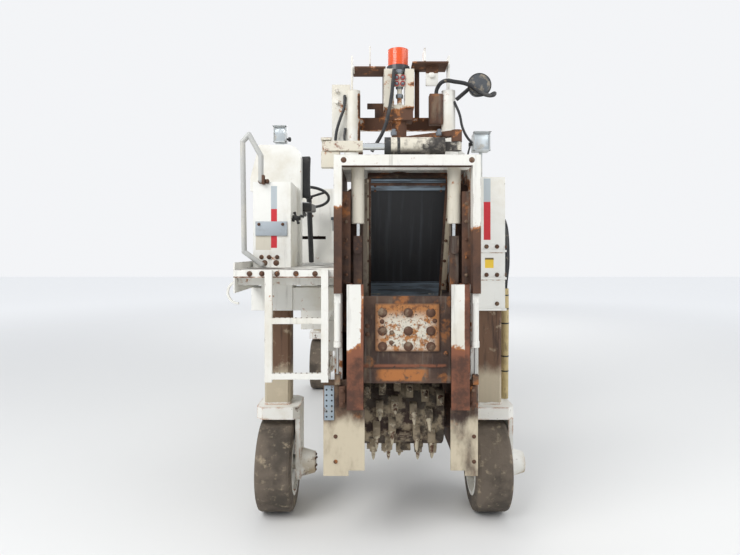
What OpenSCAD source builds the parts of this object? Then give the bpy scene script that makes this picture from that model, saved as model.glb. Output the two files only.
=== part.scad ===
/* [Machine] */
// Overall length, without the discharge conveyor
machine_l = 4400; // [4400:20:4600]
// Overall width, from the left tie-down ring to the right wheel motor
machine_w = 1840; // [1840:10:1900]
// Rear axle, along the machine from its middle
rear_axle_y = -1570; // [-1580:5:-1560]
// Front axle, along the machine from its middle
front_axle_y = 1630; // [1610:5:1650]

/* [Wheels] */
// Outer diameter of the solid-rubber tyres
wheel_d = 600; // [590:2:610]
// Width of a tyre
wheel_w = 220; // [210:2:224]

/* [Lifting columns] */
// Middle of the left rear column, left of the middle plane
left_leg_x = 690; // [685:1:695]
// Middle of the right rear column, right of the middle plane
right_leg_x = 680; // [675:1:690]
// Middle of each front column from the middle plane
front_leg_x = 700; // [695:1:710]
// Width of the square inner tube of a rear column
leg_w = 165; // [155:1:167]
// How far a wheel goes up into the machine
lift_travel = 550; // [500:5:552]

/* [Milling drum] */
// Middle of the drum, to the right of the middle plane
drum_x = 115; // [110:1:120]
// Drum axis, along the machine
drum_y = -1700; // [-1710:2:-1695]
// Height of the drum axis with the machine raised for transport
drum_z = 680; // [670:2:700]
// Cutting circle of the pick tips
cut_d = 600; // [580:2:604]
// Width of the drum over its segments
drum_w = 490; // [470:2:500]
// Picks in each helical row
row_picks = 12; // [8:1:14]

/* [Rear frame] */
// Outer face of the left wall of the rear frame
wall_left = -290; // [-294:1:-288]
// Outer face of the right wall of the rear frame
wall_right = 520; // [516:1:524]
// Top of the header beam
header_top = 2225; // [2210:1:2228]

/* [Conveyor carrier] */
// Top of the carrier's side posts
post_top = 2670; // [2650:5:2700]
// Radius of the carrier's side posts
post_r = 42; // [38:1:44]
// Height of the hole for the conveyor's pivot pin
pivot_z = 2715; // [2700:5:2725]
// Radius of the hole for the conveyor's pivot pin
pivot_r = 20; // [16:1:24]

/* [Platform] */
// Top of the operator's floor
floor_z = 1590; // [1580:1:1600]
// Distance between the ladder's rungs
rung_pitch = 306; // [290:2:310]

/* [Engine cover] */
// Width of the engine cover
hood_w = 1120; // [1080:5:1130]
// Top of the engine cover
hood_top = 2250; // [2200:5:2280]

/* [Hidden] */
$fn = 48;
rear_y = -machine_l / 2;
front_y = machine_l / 2;
side_x = machine_w / 2;
wheel_r = wheel_d / 2;
fit = 0.3;

// Rear frame walls, side plates and housing cheeks, outside to inside, as [from, to] along X
wall_t = 44;
wall_l = [wall_left, wall_left + wall_t];
wall_r = [wall_right - wall_t, wall_right];
side_l = [wall_l[1] + 6, wall_l[1] + 36];
side_r = [wall_r[0] - 36, wall_r[0] - 6];
cheek_l = [side_l[1] + 5, side_l[1] + 20];
cheek_r = [side_r[0] - 20, side_r[0] - 5];
wall_front_y = -1100;
post_back_y = rear_y + 5;
post_front_y = rear_y + 75;
wall_back_y = rear_y + 80;
wall_z = [850, header_top - 60];

// Columns
bracket_z = [wheel_d + 22, wheel_d + 100];
sleeve_bottom = bracket_z[1] + lift_travel + 60;
leg_top = sleeve_bottom + 250;
sleeve_top = leg_top + lift_travel + 60;
sleeve_wall = 12.5;
leg_gap = 5;
sleeve_in = leg_w + 2 * leg_gap;
sleeve_w = sleeve_in + 2 * sleeve_wall;
front_leg_r = 90;
fork_in = wheel_w / 2 + 10;
fork_t = 30;
axle_r = 45;
hub_r = 205;

// Steering
collar_z = [bracket_z[1] + lift_travel + 12, sleeve_bottom - 10 - fit];
arm_len = 190;
arm_t = 18;
front_sleeve_bottom = sleeve_bottom - 10;
rod_z = collar_z[0] + arm_t + fit + 16;

// Drum
cut_r = cut_d / 2;
core_r = cut_r - 98;
holder_size = [40, 62, 62];
cheek_back_y = drum_y - 340;
cheek_front_y = drum_y + 520;
roof_z = 1400;

// Chute and belt panel, which lean back towards the top
belt_x = [-84, 349];
belt_low = [-1660, roof_z];
belt_lean = 27.2;
belt_len = 787;

// Scraper, its arms and cylinders
scraper_y = rear_y + 80;
scraper_z = [952, 1440];
arm_x = [-160, 390];
arm_half = 24;
arm_y = rear_y + 125;
lift_cyl_z = [1850, header_top];
lift_rod_r = 16;
lift_barrel_r = 38;

// Side plate cylinders
edge_cyl_x = [-270, 495];
edge_cyl_y = rear_y + 40;
edge_cyl_z = [1160, 1460];
edge_rod_r = 7.5;

// Engine cover, its hinge and the tank behind it
hood_seam = 1650;
hood_front_y = front_y - 85;
hood_hinge_y = hood_front_y + 12 + fit;
tank_y = [-350, 240];
tow_eye_r = 22;
tow_eye_z = 1040;

// Conveyor carrier and its slewing cylinder
king = [85, -1900];
post_x = [-191, 389];
post_y = -1850;
deck_z = [wall_z[1], wall_z[1] + 30];
slew_y = rear_y + 95;
slew_z = header_top + 60;
slew_r = 52;
slew_left = -330;
slew_right = 400;

// Basic shapes: a block and round bars by their [from, to] ranges
module slab(x, y, z) {
    translate([x[0], y[0], z[0]]) cube([x[1] - x[0], y[1] - y[0], z[1] - z[0]]);
}

module bar_x(x, r, y, z) {
    translate([x[0], y, z]) rotate([0, 90, 0]) cylinder(h = x[1] - x[0], r = r);
}

module bar_y(y, r, x, z) {
    translate([x, y[0], z]) rotate([-90, 0, 0]) cylinder(h = y[1] - y[0], r = r);
}

module bar_z(z, r, x, y) {
    translate([x, y, z[0]]) cylinder(h = z[1] - z[0], r = r);
}

// Upright plate across X: a side outline of [y, z] points
module side_plate_shape(x, outline) {
    translate([x[0], 0, 0]) rotate([90, 0, 90]) linear_extrude(x[1] - x[0]) polygon(outline);
}

// Upright plate across Y: a rear outline of [x, z] points
module rear_plate_shape(y, outline) {
    translate([0, y[1], 0]) rotate([90, 0, 0]) linear_extrude(y[1] - y[0]) polygon(outline);
}

// Square with cut corners, centred
function cut_square(w, c) = [
    for (s = [[1, 1], [-1, 1], [-1, -1], [1, -1]])
        for (k = s[0] * s[1] > 0 ? [0, 1] : [1, 0])
            [s[0] * (w / 2 - (k == 1 ? c : 0)), s[1] * (w / 2 - (k == 0 ? c : 0))]
];

// Straight run of round bar between two points
module strut(a, b, r) {
    v = b - a;
    l = norm(v);
    translate(a)
        rotate([0, acos(v[2] / l), atan2(v[1], v[0])])
            cylinder(h = l, r = r);
}

// Chassis: two rails, cross beams and the tall walls that carry the drum at the rear
module main_frame() {
    rail_z = [960, 1180];
    color("gainsboro") {
        for (s = [-1, 1])
            slab(s > 0 ? [300, 400] : [-400, -300], [wall_front_y - 50, hood_front_y - 110], rail_z);
        for (y = [wall_front_y - 50, 420, front_axle_y - 90, hood_front_y - 210])
            slab([-400, 400], [y, y + 100], rail_z);
        slab([-400, wall_right], [wall_front_y - 70, wall_front_y], rail_z);
        for (w = [wall_l, wall_r])
            side_plate_shape(w, [
                [wall_back_y, wall_z[0]], [wall_front_y, wall_z[0] + 110], [wall_front_y, 1650],
                [wall_front_y - 350, wall_z[1]], [wall_back_y, wall_z[1]]
            ]);
        slab([wall_left, wall_right], [wall_front_y - 60, wall_front_y - 40], [rail_z[1], 1650]);
    }
}

// Portal: two posts and the header beam that frame the chute from behind
module rear_portal() {
    color("whitesmoke") {
        for (w = [wall_l, wall_r]) {
            slab([w[0], w[1]], [post_back_y, post_front_y], [edge_cyl_z[1], header_top - 60]);
            slab([w[0], w[1]], [post_front_y, wall_back_y], [edge_cyl_z[1], header_top - 60]);
        }
        slab([wall_left, wall_right], [post_back_y, post_front_y], [header_top - 60, header_top]);
    }
}

// Housing round the drum, open behind and below, with the bearing bosses of the drum shaft
module drum_housing() {
    outline = [
        [cheek_back_y, 560], [drum_y - 120, 430], [drum_y + 380, 430], [cheek_front_y, 560],
        [cheek_front_y, roof_z], [cheek_back_y, roof_z]
    ];
    boss_r = 105;
    boss_gap = 6;
    drum_side = [drum_x - drum_w / 2 - boss_gap, drum_x + drum_w / 2 + boss_gap];
    color("dimgray") difference() {
        union() {
            side_plate_shape(cheek_l, outline);
            side_plate_shape(cheek_r, outline);
            slab([cheek_l[0], cheek_r[1]], [cheek_front_y - 15, cheek_front_y], [560, roof_z]);
            slab([cheek_l[0], cheek_r[1]], [belt_low[0] + 40, cheek_front_y], [roof_z - 15, roof_z]);
            for (x = [[cheek_l[0], belt_x[0] - 10], [belt_x[1] + 10, cheek_r[1]]])
                slab(x, [cheek_back_y, belt_low[0] + 40], [roof_z - 15, roof_z]);
            for (x = [[wall_l[1], cheek_l[0]], [cheek_r[1], wall_r[0]]])
                slab(x, [cheek_back_y + 40, cheek_front_y - 40], [1220, roof_z]);
            bar_x([cheek_l[0], drum_side[0]], boss_r, drum_y, drum_z);
            bar_x([drum_side[1], cheek_r[1]], boss_r, drum_y, drum_z);
        }
        bar_x([cheek_l[1] - 5, cheek_r[0] + 5], 40 + fit, drum_y, drum_z);
    }
}

// Chute above the housing: two leaning cheeks and a front sheet behind the belt panel
module chute() {
    color("sienna") translate([0, belt_low[0], belt_low[1]]) rotate([belt_lean, 0, 0]) {
        for (x = [[belt_x[0] - 20, belt_x[0] - fit], [belt_x[1] + fit, belt_x[1] + 20]])
            difference() {
                slab(x, [-10, 110], [0, belt_len + 14]);
                rotate([-belt_lean, 0, 0]) slab([-600, 600], [-400, 400], [-200, 0]);
            }
        slab([belt_x[0] - fit, belt_x[1] + fit], [20 + fit, 110], [belt_len - 6, belt_len + 14]);
    }
}

// Rubber panel with a steel bar at its top and bottom
module belt_panel() {
    color("black") translate([0, belt_low[0], belt_low[1]]) rotate([belt_lean, 0, 0]) {
        slab(belt_x, [0, 20], [20, belt_len + 11]);
        slab(belt_x, [-8, 0], [belt_len - 60, belt_len]);
        slab(belt_x, [-8, 0], [20, 105]);
    }
}

// Guides that the scraper's arms run behind
module plate_guides() {
    guide_z = [820, 1510];
    color("whitesmoke") {
        slab([-218, -126], [rear_y, rear_y + 12], guide_z);
        slab([357, 458], [rear_y, rear_y + 12], guide_z);
        slab(cheek_l, [rear_y + 12, cheek_back_y], [1110, guide_z[1]]);
        slab(cheek_r, [rear_y + 12, cheek_back_y], [1110, guide_z[1]]);
    }
}

// Inside of a rear column, tight round the inner tube at its mouth
module column_bore(x, y, top) {
    tight = leg_w / 2 + fit;
    wide = sleeve_in / 2;
    slab([x - tight, x + tight], [y - tight, y + tight], [sleeve_bottom - 1, sleeve_bottom + 61]);
    slab([x - wide, x + wide], [y - wide, y + wide], [sleeve_bottom + 60, top]);
}

// Outer tube of the right rear column, flanged, with its bracket to the rear frame
module rear_sleeve_right() {
    x = right_leg_x;
    y = rear_axle_y;
    h = sleeve_w / 2;
    color("whitesmoke") difference() {
        union() {
            slab([x - h, x + h], [y - h, y + h], [sleeve_bottom, sleeve_top]);
            for (z = [sleeve_bottom, sleeve_bottom + 200, sleeve_bottom + 376])
                slab([x - h - 8, x + h + 8], [y - h - 8, y + h + 8], [z, z + 14]);
            slab([wall_right, x - h], [y - 70, y + 70], [sleeve_bottom + 30, wall_z[1]]);
        }
        column_bore(x, y, sleeve_top - 15);
    }
}

// Outer tube of the left rear column, inside the box that stands on the platform
module rear_sleeve_left() {
    x = -left_leg_x;
    y = rear_axle_y;
    h = sleeve_w / 2;
    color("whitesmoke") difference() {
        union() {
            slab([x - h, x + h], [y - h, y + h], [sleeve_bottom, sleeve_top - 40]);
            slab([-828, x + h], [y - 170, y + 170], [floor_z, sleeve_top - 40]);
            slab([-856, x - h], [y - 90, y + 90], [sleeve_bottom, floor_z - 133]);
            slab([x + h, wall_left], [y - 90, y + 90], [sleeve_bottom, floor_z - 133]);
        }
        column_bore(x, y, sleeve_top - 55);
    }
}

// Outer tube of a front column
module front_sleeve(x) {
    y = front_axle_y;
    top = sleeve_top - 20;
    color("whitesmoke") difference() {
        slab([x - 105, x + 105], [y - 105, y + 105], [front_sleeve_bottom, top]);
        bar_z([front_sleeve_bottom - 1, top - 12], front_leg_r + leg_gap, x, y);
    }
}

module front_sleeve_left() { front_sleeve(-front_leg_x); }
module front_sleeve_right() { front_sleeve(front_leg_x); }

// Beam that carries the front sleeves on the rails
module front_beam() {
    y = [front_axle_y - 90, front_axle_y + 10];
    top = front_sleeve_bottom + 200;
    color("whitesmoke") {
        for (s = [-1, 1])
            slab(s > 0 ? [320, 400] : [-400, -320], y, [1180, top]);
        slab([-front_leg_x + 105, front_leg_x - 105], y, [front_sleeve_bottom + 20, top]);
    }
}

// Moving part of a column: bracket over the wheel, fork plate on one side and the wheel motor
module leg(x, y, side, round_tube) {
    h = leg_w / 2;
    cap_end = side_x - right_leg_x;
    translate([x, y, 0]) {
        color("whitesmoke") {
            linear_x = side > 0 ? [-125, fork_in + fork_t] : [-fork_in - fork_t, 125];
            translate([0, 0, bracket_z[0]]) linear_extrude(bracket_z[1] - bracket_z[0]) polygon([
                [linear_x[0] + 40, -150], [linear_x[1] - 40, -150], [linear_x[1], -110],
                [linear_x[1], 110], [linear_x[1] - 40, 150], [linear_x[0] + 40, 150],
                [linear_x[0], 110], [linear_x[0], -110]
            ]);
            fork = side > 0 ? [fork_in, fork_in + fork_t] : [-fork_in - fork_t, -fork_in];
            side_plate_shape(fork, [
                [-110, bracket_z[0]], [-95, wheel_r - 60], [-60, wheel_r - 95], [60, wheel_r - 95],
                [95, wheel_r - 60], [110, bracket_z[0]]
            ]);
            translate([side * (fork_in + fork_t), 0, wheel_r]) rotate([0, side * 90, 0])
                cylinder(h = cap_end - fork_in - fork_t, r1 = 92, r2 = 66);
            translate([side * fork_in, 0, wheel_r]) rotate([0, -side * 90, 0])
                cylinder(h = fork_in + 60, r = axle_r);
        }
        color("sienna") {
            if (round_tube)
                bar_z([bracket_z[1], leg_top], front_leg_r, 0, 0);
            else
                translate([0, 0, bracket_z[1]]) linear_extrude(leg_top - bracket_z[1])
                    polygon(cut_square(leg_w, 14));
        }
    }
}

module leg_rear_left() { leg(-left_leg_x, rear_axle_y, 1, false); }
module leg_rear_right() { leg(right_leg_x, rear_axle_y, 1, false); }
module leg_front_left() { leg(-front_leg_x, front_axle_y, 1, true); }
module leg_front_right() { leg(front_leg_x, front_axle_y, -1, true); }

// Solid-rubber tyre about its own axle
module tyre(x, y) {
    h = wheel_w / 2;
    shoulder = 22;
    color("dimgray") translate([x, y, wheel_r]) rotate([0, 90, 0]) rotate_extrude($fn = 96) polygon([
        [hub_r, -h], [wheel_r - shoulder, -h], [wheel_r - 6, 7 - h], [wheel_r, shoulder - h],
        [wheel_r, h - shoulder], [wheel_r - 6, h - 7], [wheel_r - shoulder, h], [hub_r, h]
    ]);
}

// Steel wheel centre that the tyre is pressed on
module hub(x, y, side) {
    h = wheel_w / 2;
    color("gray") translate([x, y, wheel_r]) rotate([0, 90, 0]) difference() {
        cylinder(h = wheel_w, r = hub_r, center = true, $fn = 96);
        translate([0, 0, -side * h]) cylinder(h = 90, r = hub_r - 25, center = true);
        translate([0, 0, side * h]) cylinder(h = 40, r = hub_r - 25, center = true);
        cylinder(h = wheel_w + 2, r = axle_r + fit, center = true);
    }
}

module tyre_rear_left() { tyre(-left_leg_x, rear_axle_y); }
module tyre_rear_right() { tyre(right_leg_x, rear_axle_y); }
module tyre_front_left() { tyre(-front_leg_x, front_axle_y); }
module tyre_front_right() { tyre(front_leg_x, front_axle_y); }
module hub_rear_left() { hub(-left_leg_x, rear_axle_y, 1); }
module hub_rear_right() { hub(right_leg_x, rear_axle_y, 1); }
module hub_front_left() { hub(-front_leg_x, front_axle_y, 1); }
module hub_front_right() { hub(front_leg_x, front_axle_y, -1); }

// Steering collar under a front sleeve, with its arm reaching forward
module steer_collar(x) {
    color("silver") translate([x, front_axle_y, 0]) difference() {
        union() {
            bar_z(collar_z, 118, 0, 0);
            slab([-32, 32], [0, arm_len], [collar_z[0], collar_z[0] + arm_t]);
            bar_z([collar_z[0], collar_z[0] + arm_t], 32, 0, arm_len);
        }
        bar_z([collar_z[0] - 1, collar_z[1] + 1], front_leg_r + fit, 0, 0);
    }
}

module steer_collar_left() { steer_collar(-front_leg_x); }
module steer_collar_right() { steer_collar(front_leg_x); }

// Track rod between the two steering arms
module tie_rod() {
    y = front_axle_y + arm_len;
    color("silver") {
        bar_x([-front_leg_x, front_leg_x], 14, y, rod_z);
        for (s = [-1, 1])
            bar_z([rod_z - 16, rod_z + 16], 30, s * front_leg_x, y);
    }
}

// Drum body with its shaft and the tool holders, in two mirrored helical rows from each end
function row_angle(k) = k * 360 / row_picks * 1.25;
function row_x(k) = 18 + (drum_w / 2 - 42) * k / (row_picks - 1);

module on_drum(half, start, k) {
    translate([drum_x + half * row_x(k), drum_y, drum_z])
        rotate([start * 180 + row_angle(k) + (half > 0 ? 12 : 0), 0, 0])
            children();
}

module drum() {
    color("dimgray") {
        bar_x([drum_x - drum_w / 2, drum_x + drum_w / 2], core_r, drum_y, drum_z);
        bar_x([cheek_l[1] + 1, cheek_r[0] - 1], 40, drum_y, drum_z);
        for (half = [-1, 1])
            for (start = [0, 1])
                for (k = [0:row_picks - 1])
                    on_drum(half, start, k)
                        translate([-holder_size[0] / 2, -holder_size[1] / 2, core_r - 22])
                            cube(holder_size);
    }
}

// Carbide-tipped picks standing in the holders
module drum_picks() {
    seat_r = core_r - 22 + holder_size[2];
    color("tan")
        for (half = [-1, 1])
            for (start = [0, 1])
                for (k = [0:row_picks - 1])
                    on_drum(half, start, k)
                        translate([0, 0, seat_r]) {
                            cylinder(h = 24, r = 17, $fn = 24);
                            translate([0, 0, 24])
                                cylinder(h = cut_r - seat_r - 24, r1 = 13, r2 = 3, $fn = 24);
                        }
}

// Scraper blade behind the drum and the arms that hang it from its two cylinders
module scraper() {
    eye_z = 1700;
    color("sienna") {
        slab([-129, 364], [scraper_y, scraper_y + 25], scraper_z);
        slab([-129, 364], [scraper_y - 8, scraper_y], [scraper_z[0], scraper_z[0] + 83]);
        slab([-60, 300], [scraper_y - 8, scraper_y], [1130, 1400]);
        for (x = arm_x) {
            slab([x - arm_half, x + arm_half], [arm_y - 12, arm_y + 12], [1000, eye_z]);
            slab(x < drum_x ? [x - arm_half, x + 45] : [x - 45, x + arm_half],
                 [scraper_y + 5, arm_y + 12], [1000, 1430]);
            slab([x - arm_half, x + arm_half], [arm_y - 26, arm_y + 26], [eye_z, 1780]);
            bar_y([arm_y - 26, arm_y + 26], arm_half - 1, x, eye_z);
        }
    }
}

// Chrome rods that ride with the scraper
module scraper_rods() {
    color("silver")
        for (x = arm_x)
            bar_z([1780, lift_cyl_z[0] + 325], lift_rod_r, x, arm_y);
}

// Barrels of the scraper cylinders, bolted to the back of the header
module scraper_barrels() {
    color("whitesmoke")
        for (x = arm_x)
            difference() {
                union() {
                    bar_z(lift_cyl_z, lift_barrel_r, x, arm_y);
                    slab([x - 25, x + 25], [post_front_y, arm_y], [header_top - 45, header_top - 5]);
                }
                bar_z([lift_cyl_z[0] - 1, lift_cyl_z[1] - 8], lift_rod_r + 1, x, arm_y);
            }
}

// Side plates that slide up and down beside the drum, with rear flanges and cylinder rods
module edge_plate(x, inner, outer, cyl_x) {
    foot = 440;
    flange_y = [rear_y + 50, rear_y + 65];
    color("sienna") {
        side_plate_shape(x, [
            [flange_y[1], foot + 60], [flange_y[1] + 120, foot], [-1380, foot], [-1230, foot + 120],
            [-1230, 950], [flange_y[1], 950]
        ]);
        slab([min(x[0], inner), max(x[1], inner)], flange_y, [foot + 30, 815]);
        slab([min(x[0], outer), max(x[1], outer)], flange_y, [foot, 975]);
        slab([cyl_x - 16, cyl_x + 16], [edge_cyl_y - 16, flange_y[1]], [955, 1008]);
    }
    color("silver") bar_z([1000, 1280], edge_rod_r, cyl_x, edge_cyl_y);
}

module side_plate_left() { edge_plate(side_l, -120, -350, edge_cyl_x[0]); }
module side_plate_right() { edge_plate(side_r, 360, 512, edge_cyl_x[1]); }

// Barrels of the side plate cylinders, hung under the portal's posts
module side_plate_barrels() {
    color("whitesmoke")
        for (x = edge_cyl_x)
            difference() {
                union() {
                    bar_z([edge_cyl_z[0], edge_cyl_z[1] - 40], 20, x, edge_cyl_y);
                    bar_z([edge_cyl_z[0], edge_cyl_z[0] + 34], 23, x, edge_cyl_y);
                    slab([x - 18, x + 18], [edge_cyl_y - 18, edge_cyl_y + 18],
                         [edge_cyl_z[1] - 55, edge_cyl_z[1]]);
                }
                bar_z([edge_cyl_z[0] - 1, edge_cyl_z[1] - 50], edge_rod_r + 1, x, edge_cyl_y);
            }
}

// Carrier for the discharge conveyor: deck, two round posts, side flats and top plates
module mast() {
    color("whitesmoke") {
        difference() {
            slab([wall_left, wall_right], [-2020, -1450], deck_z);
            bar_z([deck_z[0] - 1, deck_z[1] + 1], 45 + fit, king[0], king[1]);
        }
        for (x = post_x) {
            bar_z([deck_z[1], post_top], post_r, x, post_y);
            bar_z([deck_z[1], deck_z[1] + 130], post_r + 16, x, post_y);
        }
        slab([-323, post_x[0] - 20], [post_y - 4, post_y + 4], [2335, 2710]);
        for (s = [[-205, -195], [385, 395]])
            slab(s, [post_y - 25, post_y + 60], [2560, 2880]);
        slab([-195, 4], [post_y - 60, post_y + 120], [2796, 2804]);
        slab([165, 385], [post_y - 60, post_y + 120], [2826, 2834]);
        slab([-195, 385], [post_y + 90, post_y + 120], [2450, 2530]);
        for (x = [[-195, -180], [370, 385]])
            slab(x, [post_y, post_y + 120], [2450, 2530]);
        for (x = [[-11, 4], [165, 180]])
            slab(x, [post_y + 90, post_y + 120], [2530, x[0] < 0 ? 2796 : 2826]);
        slab([-11, 180], [post_y + 20, post_y + 120], [2780, 2790]);
        slab([235, 245], [post_y - 60, post_y + 60], [2834, 2915]);
        bar_z([2804, 2946], 4, -90, post_y);
    }
}

// Swivelling bracket that the conveyor hangs in, on a king pin through the deck
module swivel_bracket() {
    boss = [slew_right, slew_y];
    arm_z = [slew_z + 60, slew_z + 90];
    color("tan") difference() {
        union() {
            bar_z([deck_z[0], 2500], 45, king[0], king[1]);
            bar_z([deck_z[1] + fit, deck_z[1] + 40], 75, king[0], king[1]);
            slab([0, 165], [king[1] - 60, king[1] + 60], [2470, 2560]);
            for (x = [[-7, 52], [118, 171]])
                slab(x, [king[1] - 70, king[1] + 70], [2540, pivot_z + 55]);
            translate([king[0], king[1], arm_z[0]])
                rotate([0, 0, atan2(boss[1] - king[1], boss[0] - king[0])])
                    translate([10, -24, 0])
                        cube([norm(boss - king) - 10, 48, 30]);
            bar_z([slew_z + 26, arm_z[1] + 2], 30, boss[0], boss[1]);
        }
        bar_x([-8, 172], pivot_r, king[1], pivot_z);
    }
}

// Rod of the slewing cylinder, with the fork that holds it to the left end of the header
module slew_rod() {
    color("silver") {
        bar_x([slew_left + 150, 225], 20, slew_y, slew_z);
        difference() {
            union() {
                slab([slew_left, slew_left + 200], [slew_y - 28, slew_y + 28], [slew_z - 28, slew_z + 28]);
                bar_z([slew_z - 28, slew_z + 28], 28, slew_left, slew_y);
            }
            bar_z([slew_z - 30, slew_z + 30], 15 + fit, slew_left, slew_y);
        }
    }
}

// Barrel of the slewing cylinder
module slew_barrel() {
    color("lightgray") difference() {
        union() {
            bar_x([-8, 331], slew_r, slew_y, slew_z);
            slab([331, slew_right], [slew_y - 22, slew_y + 22], [slew_z - 24, slew_z + 24]);
            bar_z([slew_z - 24, slew_z + 24], 28, slew_right, slew_y);
        }
        bar_x([-9, 320], 20 + fit, slew_y, slew_z);
    }
}

// Bracket and pin that hold the slewing cylinder to the rear frame
module slew_anchor() {
    color("tan") {
        slab([slew_left - 35, wall_left + 30], [post_front_y + fit, slew_y + 35], [header_top - 60, slew_z - 30]);
        bar_z([slew_z - 31, slew_z + 40], 15, slew_left, slew_y);
        slab([slew_left - 35, slew_left + 20], [slew_y + 36, slew_y + 50], [slew_z - 60, slew_z + 60]);
        slab([slew_left - 35, slew_left + 20], [slew_y - 35, slew_y + 50], [slew_z + 32, slew_z + 44]);
    }
}

// Operator's platform: floor sheet on a frame of channels, round the left column
module platform() {
    y0 = rear_y + 50;
    y1 = tank_y[0];
    hole = [[-828 - 1, -left_leg_x + sleeve_w / 2 + 1], [rear_axle_y - 171, rear_axle_y + 171]];
    color("whitesmoke") {
        difference() {
            slab([-842, wall_left], [y0, y1], [floor_z - 10, floor_z]);
            slab(hole[0], hole[1], [floor_z - 20, floor_z + 1]);
        }
        slab([-842, wall_left], [y0 - 8, y0], [floor_z - 45, floor_z]);
        slab([-850, -842], [y0 - 8, y1], [floor_z - 130, floor_z + 40]);
        for (y = [y0 + 60, -1380, y1 - 60])
            slab([-842, wall_left], [y, y + 50], [floor_z - 90, floor_z - 10]);
    }
}

// Curved tie-down ring on the platform's left side
module side_ring() {
    color("whitesmoke") translate([-850, rear_y + 180, floor_z - 200]) rotate([90, 0, 0])
        difference() {
            union() {
                translate([0, 65, 0]) rotate_extrude(angle = 360) translate([58, 0]) square([12, 16], center = false);
            }
            translate([0, -50, -1]) cube([200, 300, 30]);
        }
}

// Ladder at the rear left: two stiles and two rungs
module ladder() {
    y = [rear_y + 50 - 8 - 30, rear_y + 50 - 8];
    low = floor_z - 620;
    color("whitesmoke") {
        slab([-671, -631], y, [low, floor_z]);
        slab([-360, -320], y, [low, floor_z]);
        for (z = [low + 16, low + 16 + rung_pitch])
            slab([-631, -360], y, [z, z + 32]);
    }
}

// Handrail beside the left box
module handrail() {
    r = 16.5;
    y = rear_axle_y - 170 - r - 0.8;
    points = [
        [-770, y, floor_z + r + 0.8], [-880, y, 1690], [-890, y, 2380], [-850, y, 2425], [-775, y, 2290], [-775, y, 2140]
    ];
    color("silver") {
        for (i = [0:len(points) - 2])
            strut(points[i], points[i + 1], r);
        for (p = points)
            translate(p) sphere(r = r + 0.5);
    }
}

// Tall control cover at the front of the left box, with its rounded right shoulder
module console() {
    y = [-1395, -1300];
    x = [-side_x, -570];
    top = 2430;
    corner = 90;
    color("white") {
        rear_plate_shape(y, concat(
            [[-828, floor_z], [x[1], floor_z], [x[1], top - corner]],
            [for (a = [15:15:90]) [x[1] - corner + corner * cos(a), top - corner + corner * sin(a)]],
            [[x[0] + 60, top], [x[0], 2200], [x[0], 2110], [-828, 2080]]
        ));
    }
}

// Steering wheel and its column, ahead of the seat
module steering_wheel() {
    at = [-600, -600, 2140];
    color("black") {
        translate(at) rotate([-25, 0, 0]) {
            rotate_extrude() translate([165, 0]) circle(r = 12);
            cylinder(h = 14, r = 30, center = true);
            for (a = [90, 210, 330])
                rotate([0, 0, a]) translate([0, -10, -5]) cube([165, 20, 10]);
        }
        strut([at[0], at[1] + 190, floor_z + 7.8], at, 22);
    }
}

// Operator's seat on its pedestal
module seat() {
    color("black") {
        slab([-820, -380], [-1290, -1250], [2000, 2380]);
        slab([-820, -380], [-1290, -860], [1900, 2000]);
    }
    color("dimgray") slab([-720, -490], [-1200, -960], [floor_z, 1900]);
}

// Water tank across the machine, whose rear face closes the platform's front
module water_tank() {
    y = tank_y;
    color("whitesmoke") {
        difference() {
            slab([-730, 700], y, [1560, 2240]);
            slab([-700, -480], [y[0] - 1, y[0] + 60], [1795, 1822]);
        }
        slab([-420, -360], [y[0] - 120, y[0]], [1700, 1860]);
        bar_z([1860, 1960], 28, -390, y[0] - 60);
        bar_z([1960, 1985], 42, -390, y[0] - 60);
        for (s = [-1, 1])
            slab(s > 0 ? [300, 400] : [-400, -300], [y[0] + 10, y[1] - 10], [1180, 1560]);
    }
}

// Fuel tank on the left and oil tank on the right, hung on the rails
module side_tanks() {
    w = hood_w / 2;
    y = [tank_y[0] + 10, 1250];
    color("whitesmoke")
        for (s = [-1, 1]) {
            slab(s > 0 ? [400, 700] : [-700, -400], y, [1000, rod_z + 30]);
            slab(s > 0 ? [w, 700] : [-700, -w], y, [rod_z + 29, 1560]);
        }
}

// Engine, as a plain block at its real place
module engine_block() {
    color("dimgray") slab([-290, 290], [520, 1450], [1000, 1700]);
}

// Fixed lower half of the engine cover: side and front panels
module hood_base() {
    w = hood_w / 2;
    z = [rod_z + 30, hood_seam];
    beam = [front_axle_y - 90, front_axle_y + 10];
    color("whitesmoke") {
        difference() {
            union() {
                for (s = [-1, 1])
                    slab(s > 0 ? [w - 12, w] : [-w, -w + 12], [tank_y[1], hood_front_y - 10], z);
                slab([-w + 12, w - 12], [tank_y[1], tank_y[1] + 12], z);
            }
            slab([-w - 1, w + 1], beam, [z[0] - 1, front_sleeve_bottom + 200]);
        }
        slab([-w, w], [hood_front_y - 10, hood_front_y + 2], [1180, z[1]]);
        slab([-w, w], [hood_front_y - 110, hood_front_y - 10], [1180, 1200]);
        for (x = [-410, 330]) {
            hood_knuckle([x, x + 40 - fit]);
            slab([x, x + 40 - fit], [hood_front_y + 2, hood_hinge_y], [hood_seam - 12, hood_seam]);
        }
    }
}

// Engine cover that tilts forward about the hinges at its front edge
module hood() {
    w = hood_w / 2;
    z = [hood_seam + fit, hood_top];
    y = [tank_y[1] + 10, hood_front_y];
    color("whitesmoke") {
        difference() {
            slab([-w, w], y, z);
            slab([-w + 12, w - 12], [y[0] + 12, y[1] - 12], [z[0] - 1, z[1] - 12]);
        }
        for (x = [-370, 370]) {
            hood_knuckle([x, x + 40]);
            slab([x, x + 40], [y[1], hood_hinge_y], [hood_seam + fit, hood_seam + 40]);
        }
    }
}

module hood_knuckle(x) {
    bar_x(x, 10, hood_hinge_y, hood_seam);
}

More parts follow.
